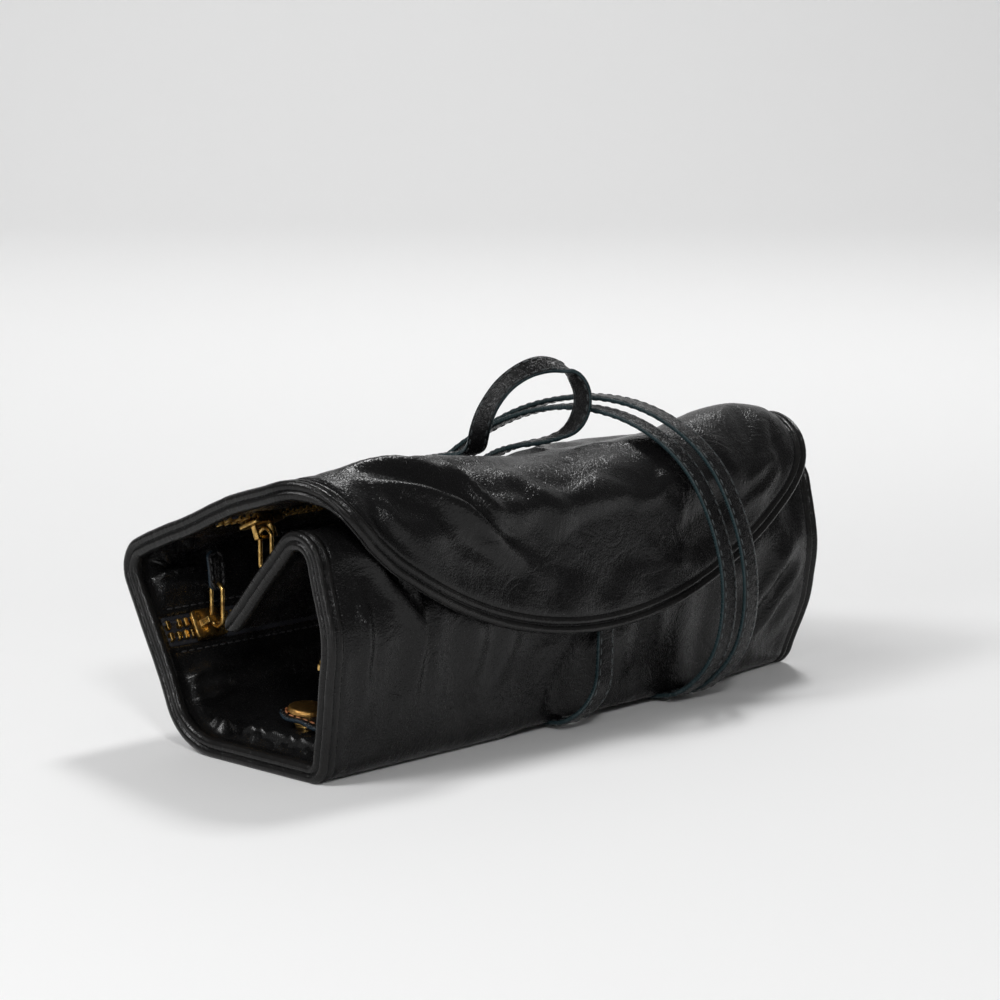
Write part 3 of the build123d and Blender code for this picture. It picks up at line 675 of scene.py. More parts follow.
fold_at = {name: along_at(middle) for name, (middle, centre, radius) in fold_middles.items()}
print("section line, mm:", round(line_length, 1), {n: round(v, 1) for n, v in fold_at.items()})


# %% Places on the leather
def leather_frame(along):
    """The point, inward direction and onward direction of the leather's line, across x."""
    point = read_at(along, line_along, line_points)
    inward = unit(read_at(along, line_along, line_inwards))
    onward = np.stack([inward[..., 1], -inward[..., 0]], -1)
    return point, inward, onward


def outward_at(along):
    """The direction out of the leather, in the row frame."""
    _, inward, _ = leather_frame(along)
    return np.stack([0 * along, -inward[..., 0], -inward[..., 1]], -1)


def in_row(across, ends):
    """Points in the row frame from places along the roll and points of its end view."""
    return np.stack([np.broadcast_to(across, ends.shape[:-1]), ends[..., 0], ends[..., 1]], -1)


def place(across, along, depth):
    """Points in the row frame, in mm, from places on the leather."""
    point, inward, _ = leather_frame(along)
    return in_row(across, point + inward * np.asarray(depth)[..., None])


wall_thickness, flap_thickness = 4.8, 2.4
half_length = 110.0


def thickness(along):
    """How thick the panel is: padded walls, and a thin flap after the last fold."""
    thin = smooth_step(fold_at["flap"] - 8, fold_at["flap"] + 8, along)
    return wall_thickness + (flap_thickness - wall_thickness) * thin


# %% [markdown]
# ## Outline of the panel
#
# The panel's ends are straight up to the last fold. From there its edge runs in to the scalloped
# edge of the flap. The scallop is one wide arc with a smaller one at each side. The outline is
# kept as points on the flat leather with their directions into it, so that the rolled edge can
# follow it all round in one piece.

# %% Outline
scallop_radius, scallop_half_width, side_radius = 150.0, 84.0, 60.0
main_centre = np.array([0, section_corners[-1, 1] + scallop_radius])
scallop_drop = math.sqrt(scallop_radius**2 - scallop_half_width**2)
side_point = np.array([scallop_half_width, main_centre[1] - scallop_drop])
side_centre = side_point + (main_centre - side_point) / scallop_radius * side_radius
flap_rows = line_along >= fold_at["flap"]
flap_ups, flap_alongs = line_points[flap_rows, 1][::-1], line_along[flap_rows][::-1]


def half_outline():
    """The outline from the middle of the scallop to the start of the last fold, far side."""
    points = []
    for a in np.linspace(0, math.asin(scallop_half_width / scallop_radius), 120):
        up = main_centre[1] - scallop_radius * math.cos(a)
        points.append((scallop_radius * math.sin(a), up))
    top = line_points[np.argmin(np.abs(line_along - fold_at["flap"])), 1]
    first = math.atan2(side_point[1] - side_centre[1], side_point[0] - side_centre[0])
    last = math.asin((top - side_centre[1]) / side_radius)
    for a in np.linspace(first, last, 60)[1:]:
        up = side_centre[1] + side_radius * math.sin(a)
        points.append((side_centre[0] + side_radius * math.cos(a), up))
    flat = [(x, np.interp(up, flap_ups, flap_alongs)) for x, up in points]
    (x0, s0), (x1, s1) = flat[-2], flat[-1]
    slope = (x1 - x0) / (s1 - s0)
    reach = 21.0
    for t in np.linspace(0, 1, 30)[1:]:
        ease = (1 - 3 * t**2 + 2 * t**3, t - 2 * t**2 + t**3, 3 * t**2 - 2 * t**3)
        eased_x = ease[0] * x1 + ease[1] * -reach * slope + ease[2] * half_length
        flat.append((eased_x, s1 - reach * t))
    return np.array(flat)


outline_half = half_outline()
outline = np.concatenate([(outline_half * [-1, 1])[::-1], outline_half[1:]])
outline_along = reach_along(outline)
flap_start = outline[0, 1]
columns = 137
outline = read_at(np.linspace(0, outline_along[-1], columns), outline_along, outline)
outline_onward = np.gradient(outline, axis=0)
outline_inward = unit(np.stack([outline_onward[:, 1], -outline_onward[:, 0]], -1))
outline_inward[[0, -1]] = [(1, 0), (-1, 0)]
print("outline, mm:", round(outline_along[-1], 1), "flap from", round(flap_start, 1))

# %% [markdown]
# ## Rows and columns of the panel
#
# The outer leather and the lining share one grid on the flat leather: rows across the roll, from
# the tip of the curl to the scallop, and columns along it. On the walls the rows are straight. On
# the flap they bend more and more, until the last one follows the scallop. Close rows stand at
# the zips, where the lining turns in under a hem.

# %% Panel grid
rim_reach = 6.0
grid_start = flap_start - 22.0
zip_seats = {}
for name, before, after, reach in (
    ("front_zip", section_corners[2], section_corners[3], 42.2404 - 31.0),
    ("back_zip", section_corners[4], section_corners[5], 34.7),
    ("top_zip", section_corners[5], section_corners[6], 44.9),
):
    direction = unit(after - before)
    zip_seats[name] = (before + direction * reach, direction)


def along_of(point):
    """The distance along the line of a point on one of its straight stretches."""
    start, end = line_points[:-1], line_points[1:]
    run = end - start
    share = np.clip(((point - start) * run).sum(1) / (run**2).sum(1), 0, 1)
    nearest = np.argmin(np.linalg.norm(start + run * share[:, None] - point, axis=1))
    return line_along[nearest] + share[nearest] * np.linalg.norm(run[nearest])


zip_at = {name: along_of(seat) for name, (seat, _) in zip_seats.items()}
seams = [92.0, 147.0, 206.0, 280.0]
hem_seam = 6.8
hem_steps = (0, 3, 4.2, 4.6, 5.0, 5.6, 6.3, hem_seam, 7.3, 8.5)
row_pitch = 1.15
fixed_rows = {0.0, grid_start, *seams}
for at in zip_at.values():
    fixed_rows |= {at + side * step for step in hem_steps for side in (-1, 1)}
wall_rows = []
for low, high in zip(sorted(fixed_rows), sorted(fixed_rows)[1:]):
    parts = max(1, round((high - low) / row_pitch))
    wall_rows += [low + (high - low) * k / parts for k in range(parts)]
tip_rows = np.array([(-4.0, 0.03), (-3.7, 0.42), (-3.0, 0.74), (-2.0, 0.93), (-1.0, 1.0)])
wall_rows = np.concatenate([tip_rows[:, 0], wall_rows, [grid_start]])
flap_steps = np.linspace(0, 1, 51)[1:, None]
share_across = np.linspace(-1, 1, columns)
share_across += 0.12 * np.sin(math.pi * share_across)
inner_edge = outline + outline_inward * rim_reach
half_inside, to_edge = half_length - rim_reach, flap_steps**1.3
wall_x = np.tile(half_inside * share_across, (len(wall_rows), 1))
flap_x = (1 - to_edge) * half_inside * share_across + to_edge * inner_edge[:, 0]
wall_s = np.tile(wall_rows[:, None], (1, columns))
flap_s = (1 - flap_steps) * grid_start + flap_steps * inner_edge[:, 1]
grid_x, grid_s = np.concatenate([wall_x, flap_x]), np.concatenate([wall_s, flap_s])
rows = len(grid_s)
squeeze = np.ones(rows)
squeeze[: len(tip_rows)] = tip_rows[:, 1]
seam_rows = [0] + [int(np.argmin(np.abs(wall_rows - at))) for at in seams] + [rows - 1]
print("panel grid:", rows, "rows, zips at", {n: round(a, 1) for n, a in zip_at.items()})


# %% Lining depth
tape_depth = 3.5


def lining_depth(along):
    """How deep the lining's face lies: it dips under the zips' tapes, and swells at the hems."""
    depth = thickness(along)
    for at in zip_at.values():
        off = np.abs(along - at)
        hem = 0.45 * swell(off, 5.6, 0.6) - 0.2 * swell(off, hem_seam, 0.35)
        hem = hem + 0.2 * swell(off, 8.2, 1.2)
        slot_depth = tape_depth + (depth + hem - tape_depth) * smooth_step(4.1, 5.0, off)
        depth = np.where(off < 12, slot_depth, depth)
    return depth


# %% [markdown]
# ## Rolled edge
#
# The panel's edge is bound: a cord in a fold of leather, with a second roll beside it on the
# outside and the turned lining on the inside. Swept round the outline, its section reads as the
# three parallel lines of the real edge. It shares its first and last points with the outer
# leather and the lining, so the three are one closed skin.

# %% Rim section
rim_section = np.array(
    [
        (5.6, 0.3), (5.2, 0.5), (4.85, 0.3), (4.4, -0.15), (3.8, -0.35), (3.15, -0.1),
        (2.75, 0.62), (2.4, 0.6), (2.05, 0.0), (1.3, -0.42), (0.6, -0.12), (0.12, 0.6),
        (0.0, 1.35), (0.2, 2.0), (0.75, 2.45), (0.8, 2.6), (0.3, 2.95), (0.02, 3.6),
        (0.15, 4.4), (0.7, 5.1), (1.6, 5.55), (2.6, 5.5), (3.4, 5.1), (3.9, 4.6), (4.4, 4.72),
    ]
)
rim_wear = (
    [0, 0, 0.2, 0.8, 1, 0.5, 0, 0, 0.5, 1, 0.9, 0.5, 0.6, 0.4]
    + [0, 0, 0.4, 0.7, 0.8, 0.8, 0.9, 0.5, 0.1, 0, 0]
)


def rim_points(edge, inward, squeeze):
    """The rim's section at places on the outline, in mm. Only its outer roll keeps its size."""
    roll = 0.7
    flat = edge[:, None] + inward[:, None] * rim_section[None, :, :1]
    depth = np.tile(rim_section[:, 1], (len(edge), 1))
    thick = thickness(flat[..., 1])
    thinned = roll + (depth - roll) * (thick - roll) / (wall_thickness - roll)
    depth = np.where(depth > roll, thinned, depth)
    depth = thick / 2 + (depth - thick / 2) * squeeze[:, None]
    return place(flat[..., 0], flat[..., 1], depth), flat


print("rim section:", len(rim_section), "points")


# %% Outer leather and lining at rest
def channel_floor(across):
    """The height of the leather's underside over the lace, where the leather is pressed up."""
    return 2.4 * (smooth_step(-41, -27, across) - smooth_step(60, 74, across))


def clear_lace(points):
    """Lift the outer leather off the lace in the channel, and keep it off the floor."""
    lifted = points.copy()
    near_floor = (points[..., 1] > -46) & (points[..., 1] < 48)
    lowest = np.where(near_floor, channel_floor(points[..., 0]), 0) + 0.05
    lifted[..., 2] = np.maximum(points[..., 2], lowest)
    return lifted


thick = thickness(grid_s)
outer_depth = thick / 2 * (1 - squeeze[:, None])
inner_depth = thick / 2 + (lining_depth(grid_s) - thick / 2) * squeeze[:, None]
outer_rest = place(grid_x, grid_s, outer_depth)
lining_rest = place(grid_x, grid_s, inner_depth)
out_of_leather = outward_at(grid_s)
print("outer leather, mm:", *(end(outer_rest, (0, 1)).round(1) for end in (np.min, np.max)))

# %% [markdown]
# ## Slack in the leather
#
# Hide is cut a little larger than the padding under it and sewn down only at its edges, so it
# gathers into soft folds. Painting such folds by hand looks ruled. A cloth simulation grows the
# flat hide by a few parts in a hundred while its edges are held, and the folds come by
# themselves. The result is smoothed, capped and kept as a shift of each grid point, so that the
# rims and both faces can follow it.


# %% Cloth helper
def settle_cloth(name, points, faces, held, slack, bending, frames):
    """Grow a held sheet by its slack in a cloth simulation, and give each point's shift, in mm."""
    sheet = add_mesh(name, points.reshape(-1, 3) * MM, faces)
    group = sheet.vertex_groups.new(name="held")
    for weight in np.unique(held.round(2)):
        chosen = np.flatnonzero(np.abs(held.ravel().round(2) - weight) < 0.001)
        if weight > 0:
            group.add(chosen.tolist(), float(weight), "REPLACE")
    cloth = sheet.modifiers.new("slack", "CLOTH")
    settings = cloth.settings
    settings.quality = 5
    settings.mass = 0.3
    settings.air_damping = 1.0
    settings.tension_stiffness = settings.compression_stiffness = 15
    settings.shear_stiffness = 7
    settings.bending_stiffness = bending
    settings.vertex_group_mass = "held"
    settings.shrink_min = settings.shrink_max = -slack
    settings.effector_weights.gravity = 0
    cloth.collision_settings.use_collision = False
    cloth.point_cache.frame_start, cloth.point_cache.frame_end = 1, frames
    for step in range(1, frames + 1):
        bpy.context.scene.frame_set(step)
    settled = sheet.evaluated_get(bpy.context.evaluated_depsgraph_get())
    moved = np.zeros(len(settled.data.vertices) * 3, np.float32)
    settled.data.vertices.foreach_get("co", moved)
    bpy.data.objects.remove(sheet)
    bpy.context.scene.frame_set(1)
    return moved.reshape(points.shape) / MM - points


def smoothed(values, times):
    """Values on the grid, each averaged with its neighbours."""
    for _ in range(times):
        padded = np.pad(values, ((1, 1), (1, 1), (0, 0)), mode="edge")
        across = padded[1:-1, :-2] + padded[1:-1, 2:]
        along = padded[:-2, 1:-1] + padded[2:, 1:-1]
        values = values * 0.4 + (across + along) * 0.15
    return values


def capped(shift, outward, inside, outside, sideways):
    """A shift with its parts along and across the surface kept within limits, in mm."""
    off = (shift * outward).sum(-1, keepdims=True)
    side = shift - off * outward
    side_size = np.linalg.norm(side, axis=-1, keepdims=True)
    side = side * np.minimum(1, sideways / np.maximum(side_size, 1e-9))
    return side + np.clip(off, -inside, outside) * outward


# %% Slack of both faces
even_rows = np.linspace(wall_rows[0], grid_start, 153)
even_x = np.concatenate([np.tile(grid_x[0], (len(even_rows), 1)), grid_x[len(wall_rows) :]])
even_s = np.concatenate([np.tile(even_rows[:, None], (1, columns)), grid_s[len(wall_rows) :]])
even_out = outward_at(even_s)
uneven = np.random.default_rng(5).normal(size=even_s.shape)[..., None] * 0.05
sewn_by_zip = 6.5
outer_held = np.full(even_s.shape, 0.05)
outer_held[:, [0, -1]] = outer_held[[0, -1]] = 1
outer_held[:, [1, -2]] = outer_held[[1, -2]] = 0.3
lining_held = outer_held.copy()
for at in zip_at.values():
    lining_held[np.abs(even_s - at) < sewn_by_zip] = 1


def slack_of(name, depth, held, slack, bending, facing):
    """The shift that the slack gives a face of the panel, read at the panel's own rows."""
    faces = grid_faces(*even_s.shape)[:, ::-facing]
    start = place(even_x, even_s, depth) + even_out * uneven
    shift = smoothed(settle_cloth(name, start, faces, held, slack, bending, 14), 3)
    level = np.interp(wall_rows, even_rows, np.arange(len(even_rows)))
    low = np.minimum(level.astype(int), len(even_rows) - 2)
    rest = (level - low)[:, None, None]
    walls = shift[low] * (1 - rest) + shift[low + 1] * rest
    return np.concatenate([walls, shift[len(even_rows) :]])


outer_slack = slack_of("outer_slack", 0 * even_s, outer_held, 0.025, 4.0, 1)
lining_slack = slack_of("lining_slack", thickness(even_s), lining_held, 0.06, 1.0, -1)
from_end = half_length - rim_reach - np.abs(grid_x)
print("slack folds, mm:", outer_slack.std().round(2), lining_slack.std().round(2))

# %% [markdown]
# ## Pulled folds and billows
#
# Some folds have a cause: the lace pulls the flap from its upper left corner down towards its
# middle, the front creases where it was squeezed, and the top swells at its far end where the
# lace lets it go. These are strokes on the flat leather, each a soft ridge with a hollow beside
# it, placed where the photograph shows them.


# %% Strokes
def pulled_fold(stroke, width, height):
    """A ridge along a stroke of flat places, with a hollow beside it, fading at both ends."""
    stroke = np.array(stroke, float)
    lengths = np.linalg.norm(np.diff(stroke, axis=0), axis=1)
    total, done = lengths.sum(), 0.0
    nearest = np.full(grid_s.shape, 1e9)
    signed, share = np.zeros(grid_s.shape), np.zeros(grid_s.shape)
    for start, end, length in zip(stroke, stroke[1:], lengths):
        run = (end - start) / length
        reach = np.clip((grid_x - start[0]) * run[0] + (grid_s - start[1]) * run[1], 0, length)
        aside = (grid_x - start[0] - reach * run[0], grid_s - start[1] - reach * run[1])
        away = np.hypot(*aside)
        side = aside[0] * -run[1] + aside[1] * run[0]
        closer = away < nearest
        nearest = np.where(closer, away, nearest)
        signed = np.where(closer, np.where(side < 0, -away, away), signed)
        share = np.where(closer, (done + reach) / total, share)
        done += length
    fade = between(0, 0.3, 0.6, 1.0, share) + 0.15
    beside = swell(signed, -1.3 * width, width)
    return height * fade * (swell(nearest, 0, width) - 0.55 * beside)


def billow(middle, radii, height):
    """A broad swelling, or a hollow if its height is negative."""
    off = ((grid_x - middle[0]) / radii[0]) ** 2 + ((grid_s - middle[1]) / radii[1]) ** 2
    return height * np.exp(-off)


pulls = [
    ([(-95, 318), (-72, 320), (-49, 330)], 2.8, 2.4),
    ([(-92, 324), (-71, 332), (-60, 338), (-52, 346), (-38, 355), (-26, 364)], 3.0, 3.2),
    ([(-62, 316), (-53, 326), (-48, 336), (-42, 346)], 2.6, 2.1),
    ([(-92, 329), (-89, 341), (-79, 351)], 3.2, -1.3),
    ([(-78, 338), (-62, 352), (-44, 362)], 3.6, 1.0),
    ([(-40, 318), (-30, 330), (-18, 346), (-10, 362)], 4.5, 0.9),
    ([(22, 340), (32, 348), (42, 354)], 2.2, 0.8),
    ([(18, 356), (26, 362), (39, 369)], 2.4, 0.9),
    ([(52, 326), (54, 341), (58, 358)], 4.5, -1.4),
    ([(60, 356), (70, 350), (86, 343)], 2.2, 0.8),
    ([(66, 346), (76, 340), (92, 336)], 2.0, 0.7),
    ([(-96, 50), (-89, 58), (-82, 70), (-74, 84)], 2.6, 2.9),
    ([(-84, 52), (-76, 64), (-77, 82), (-79, 102)], 3.0, 2.6),
    ([(-98, 62), (-97, 78), (-97, 100)], 2.8, 1.5),
    ([(-56, 70), (-52, 86), (-54, 108)], 5.0, 1.5),
    ([(-30, 76), (-22, 92), (-26, 110)], 7.0, -0.9),
    ([(98, 70), (86, 84), (66, 106)], 4.0, 2.0),
    ([(104, 80), (92, 92), (76, 110)], 3.6, 1.8),
    ([(80, 66), (70, 80), (56, 96)], 4.4, 1.2),
    ([(-100, 200), (-70, 206), (-30, 222)], 6.0, 1.4),
    ([(-60, 182), (-20, 200), (10, 226)], 7.0, 1.3),
    ([(100, 190), (70, 208), (50, 228)], 6.0, 1.6),
    ([(-96, 262), (-60, 250), (-20, 246)], 6.0, 1.2),
    ([(60, 246), (84, 262), (100, 284)], 6.0, 1.3),
]
swells = [
    ((78, 318), (26, 20), 4.2),
    ((-2, 320), (30, 12), -1.6),
    ((-66, 312), (26, 14), 2.2),
    ((-20, 92), (40, 18), 0.9),
    ((80, 96), (22, 16), -1.2),
    ((0, 206), (60, 20), 1.6),
    ((70, 262), (36, 20), 1.4),
    ((-60, 264), (36, 18), 1.0),
]
raised = sum([pulled_fold(*pull) for pull in pulls] + [billow(*swelling) for swelling in swells])
for size, height in ((31.0, 0.35), (17.0, 0.2)):
    across_waves = np.sin(grid_x / size * 2.1 + 1.7 * np.sin(grid_s / size))
    along_waves = np.cos(grid_s / size * 1.9 + 1.3 * np.sin(grid_x / size * 0.8))
    raised += height * across_waves * along_waves
print("raised by pulls, mm:", raised.min().round(2), raised.max().round(2))

# %% Shaping of the leather
on_floor = between(104, 122, 166, 186, grid_s)
at_rim = 0.25 + 0.75 * smooth_step(0, 9, from_end)
lifted = raised * (1 - on_floor) * at_rim
outer_shift = capped(outer_slack, out_of_leather, 1.4, 1.6, 1.2)
outer_shift *= (1 - 0.8 * on_floor)[..., None]
outer_shift += out_of_leather * lifted[..., None]
beyond = grid_s + 40.0 * (grid_x > 0)
waver = 0.5 * np.sin(beyond / 12.5 + 0.6) + 0.2 * np.sin(beyond / 5.6 + 1.1)
waver *= np.exp(-np.maximum(from_end, 0) / 14) * (1 - on_floor) * smooth_step(6, 24, grid_s)
outer_shift += out_of_leather * waver[..., None]
lining_shift = capped(lining_slack, out_of_leather, 1.5, 1.4, 0.8)
lining_shift += out_of_leather * (0.5 * lifted * (grid_s > 20))[..., None]
gathers = (
    (118.0, 176.0, 7.4, 4.8, 9.0),
    (164.0, 204.0, 7.0, 5.0, 13.0),
    (216.0, 262.0, 7.6, 5.6, 11.0),
    (20.0, 78.0, 9.0, 1.5, 10.0),
    (258.0, 300.0, 8.0, 1.6, 9.0),
)
puckered = np.zeros(grid_s.shape)
for first, last, pitch, height, reach in gathers:
    within = between(first, first + 7, last - 7, last, grid_s)
    lean = 0.16 * pitch * np.sin(from_end * 0.3 + grid_s * 0.2)
    bent = grid_s + 1.6 * np.sin(grid_s * 0.61) + lean
    ridge = 1 - np.abs(np.sin(math.pi * bent / pitch)) ** 0.8
    strength = smooth_step(-0.5, 3.5, from_end) * np.exp(-np.maximum(from_end - 3.5, 0) / reach)
    uneven_height = 0.75 + 0.35 * np.sin(grid_s * 0.37)
    puckered += height * (0.8 * ridge + 0.1) * strength * within * uneven_height
off_zips = np.ones(grid_s.shape)
for at in zip_at.values():
    off_zips *= smooth_step(7, 14, np.abs(grid_s - at))
lining_shift += out_of_leather * (0.7 * waver - puckered)[..., None]
lining_shift *= (0.12 + 0.88 * off_zips)[..., None]
snap_x = -87.8
by_tab = np.abs(grid_x - snap_x) < 15
by_tab = by_tab * between(62, 70, 108, 116, grid_s)
lining_shift *= (1 - 0.85 * by_tab)[..., None]
lace_tree = KDTree(len(lace_path))
for number, point in enumerate(lace_path):
    lace_tree.insert(point / MM, number)
lace_tree.balance()
lace_away = [lace_tree.find(point)[2] for point in outer_rest.reshape(-1, 3)]
off_leather = (outer_shift * out_of_leather).sum(-1)
room = np.maximum(0.0, np.array(lace_away).reshape(grid_s.shape) - 2.6)
too_far = np.maximum(0.0, off_leather - room)
outer_shift -= out_of_leather * too_far[..., None]
print("outer shift, mm:", off_leather.min().round(2), off_leather.max().round(2))
print("eased at the lace:", int((too_far > 0).sum()))
lining_kept = 4.0


def taper(points, kept=0.0):
    """The far end's front is drawn in towards the bottom, where the roll is tied tightest.

    The inside is drawn in less, by the kept part, so that the front slider and its pull have room.
    """
    drawn = points.copy()
    pull = smooth_step(30, 112, points[..., 0]) * (1 - smooth_step(0, 30, points[..., 2]))
    most = 7.5 - kept * (1 - smooth_step(96, 108, points[..., 0]))
    drawn[..., 1] += most * pull * (1 - smooth_step(-26, 20, points[..., 1]))
    return drawn


# %% [markdown]
# ## Panel pieces
#
# The leather bends where the case unrolls, so it is cut in the middle of each wall into five
# pieces, each holding one fold. Neighbours share the points along the cut and the
# directions of their surface there, so that no cut shows. Each piece is outer leather, both rims
# and lining in one closed skin, with a material for each.

# %% Panel skin
outer_points = taper(clear_lace(outer_rest + outer_shift))
lining_points = taper(lining_rest + lining_shift, lining_kept)
perimeter = (
    [(row, 0) for row in range(rows)]
    + [(rows - 1, column) for column in range(1, columns)]
    + [(row, columns - 1) for row in range(rows - 2, -1, -1)]
)
perimeter_rows, perimeter_columns = on_rim = tuple(np.array(perimeter).T)
edge_inward = np.where(perimeter_columns[:, None] < columns / 2, (1.0, 0.0), (-1.0, 0.0))
on_scallop = np.arange(rows - 1, rows - 1 + columns)
edge_inward[on_scallop] = outline_inward
edge_places = np.stack([grid_x[on_rim], grid_s[on_rim]], -1) - edge_inward * rim_reach
rims, rim_flat = rim_points(edge_places, edge_inward, squeeze[perimeter_rows])
rims = rims + outer_shift[on_rim][:, None]
rims[..., 2] = np.maximum(rims[..., 2], 0.05)
rims = taper(rims)
print("rim points:", rims.shape)


# %% Panel meshes
def vertex_normals(points, faces):
    """Smooth directions of the surface at its points."""
    corners = points[faces]
    face_normals = np.cross(corners[:, 2] - corners[:, 0], corners[:, 3] - corners[:, 1])
    normals = np.zeros_like(points)
    for corner in range(4):
        np.add.at(normals, faces[:, corner], face_normals)
    return normals / np.maximum(np.linalg.norm(normals, axis=1), 1e-12)[:, None]


def strip_faces(strip):
    """Corner numbers of the faces in a strip of numbered points."""
    corners = [strip[:-1, :-1], strip[1:, :-1], strip[1:, 1:], strip[:-1, 1:]]
    return np.stack(corners, -1).reshape(-1, 4)


steps = len(rim_section)
outer_number = np.arange(rows * columns).reshape(rows, columns)
lining_number = outer_number + rows * columns
rim_number = 2 * rows * columns + np.arange(len(perimeter) * steps).reshape(-1, steps)
skin_points = [points.reshape(-1, 3) for points in (outer_points, lining_points, rims)]
skin_points = np.concatenate(skin_points)
both_flat = [np.stack([grid_x, grid_s], -1).reshape(-1, 2)] * 2
skin_flat = np.concatenate([*both_flat, rim_flat.reshape(-1, 2)])
strip = [outer_number[on_rim][:, None], rim_number, lining_number[on_rim][:, None]]
face_groups = (
    grid_faces(rows, columns)[:, ::-1],
    grid_faces(rows, columns, rows * columns),
    strip_faces(np.concatenate(strip, 1))[:, ::-1],
    strip_faces(np.stack([outer_number[0], lining_number[0]], 1)),
)
skin_faces = np.concatenate(face_groups)
skin_kind = np.repeat((0, 1, 2, 2), [len(faces) for faces in face_groups])
face_rows = [np.repeat(np.arange(rows - 1), columns - 1)] * 2
rim_rows = np.minimum(np.minimum(perimeter_rows[:-1], perimeter_rows[1:]), rows - 2)
tip_row = np.zeros(columns - 1, int)
skin_row = np.concatenate([*face_rows, np.repeat(rim_rows, steps + 1), tip_row])
skin_normals = vertex_normals(skin_points, skin_faces)
wear = np.concatenate([np.zeros(2 * rows * columns), np.tile(rim_wear, len(perimeter))])
panel_pieces = {}
wall_pairs = ("curl_front", "front_bottom", "bottom_back", "back_top", "top_flap")
panel_names = ["panel_" + walls for walls in wall_pairs]
for name, low, high in zip(panel_names, seam_rows, seam_rows[1:]):
    chosen = (skin_row >= low) & (skin_row < high)
    used, faces = np.unique(skin_faces[chosen], return_inverse=True)
    faces = faces.reshape(-1, 4)
    piece = add_mesh(name, skin_points[used] * MM, faces, skin_flat[used])
    piece.data.polygons.foreach_set("material_index", skin_kind[chosen])
    set_values(piece, "wear", wear[used])
    piece.data.normals_split_custom_set_from_vertices(skin_normals[used].tolist())
    panel_pieces[name] = piece
    print(name, "faces:", len(faces))


# %% [markdown]
# ## Folds of the panel
#
# When the case is unrolled, each wall turns on the one before it. Here each piece takes its
# materials, and the CAD parts that it stands for are hidden. The ends of its fold are worked out,
# but nothing makes the piece bend with the walls.

# %% Materials of the pieces, and the ends of their folds
panel_folds = (
    ("curl", "curl", "front", 8.5, ("curl_lining", "curl_edge_piping")),
    ("front", "front", "bottom", 5.0, ("front_lining_upper", "front_lining_lower")),
    ("back", "bottom", "back", 12.0, ("bottom_lining",)),
    ("top", "back", "top", 7.0, ("back_lining_lower", "back_lining_upper")),
    (
        "flap", "top", "flap", 14.0,
        ("top_lining_back", "top_lining_front", "flap_outer", "flap_lining", "flap_piping"),
    ),
)
for name, (fold, before, after, reach, others) in zip(panel_names, panel_folds):
    own = [before + part for part in ("_outer", "_padding", "_piping")]
    piece = panel_pieces[name]
    for material in (outer_leather, lining_leather, rim_leather):
        piece.data.materials.append(material)
    _, _, onward = leather_frame(np.array(fold_at[fold]))
    middle = fold_middles[fold][0]
    start, end = middle - onward * reach, middle + onward * reach
    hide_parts(*own, *others)
    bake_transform(piece)
print("panel pieces:", len(panel_folds))

# %% [markdown]
# ## Zips
#
# Each zip is a woven tape with a bead along both sides of its middle, and brass teeth that grip
# the beads. The teeth could be one ribbed strip, but in the open near end each is seen alone. So
# one tooth is modelled and copied along both rows, half a pitch apart. The rows stand a little
# closer behind the slider than in front of it.

# %% Places on a zip
def zip_directions(name):
    """A zip's seat on the padding, the direction across its tape, and the direction out of it."""
    seat, aside = zip_seats[name]
    lift = np.array([-aside[1], aside[0]])
    return seat + lift * 3.6, aside, lift


def on_zip(name, across, aside_by, lift_by):
    """Points by a zip, in mm, from places along the roll, across the tape and out of it."""
    seat, aside, lift = zip_directions(name)
    across, aside_by, lift_by = np.broadcast_arrays(across, aside_by, lift_by)
    flat = seat + aside_by[..., None] * aside + lift_by[..., None] * lift
    return in_row(across, flat)


slider_x = {"top_zip": -90.0, "back_zip": -90.0, "front_zip": -99.7}
zip_body = {"top_zip": "top", "back_zip": "back", "front_zip": "front"}
for name in zip_seats:
    print(name, "seat, mm:", zip_directions(name)[0].round(1))

# %% Tooth
bpy.ops.object.select_all(action="DESELECT")
bpy.ops.mesh.primitive_cube_add(size=1, location=(0, 0, 0.5))
model = bpy.context.object
bpy.ops.object.mode_set(mode="EDIT")
bpy.ops.transform.resize(value=(1.45, 2.45, 2.15), center_override=(0, 0, 0))
bpy.ops.mesh.select_mode(type="FACE")
bpy.ops.object.mode_set(mode="OBJECT")
for face in model.data.polygons:
    face.select = abs(face.normal.y) > 0.9
bpy.ops.object.mode_set(mode="EDIT")
bpy.ops.mesh.inset(thickness=0.32)
bpy.ops.mesh.extrude_region_move(TRANSFORM_OT_translate={"value": (0, 0, 0.0)})
bpy.ops.transform.resize(value=(0.8, 1.22, 0.8))
bpy.ops.mesh.select_all(action="SELECT")
bpy.ops.mesh.bevel(offset=0.16, segments=1, affect="EDGES")
bpy.ops.mesh.normals_make_consistent(inside=False)
bpy.ops.object.mode_set(mode="OBJECT")
tooth = take_shape()
print("tooth faces:", len(tooth[1]), "size:", np.ptp(tooth[0], axis=0).round(2))

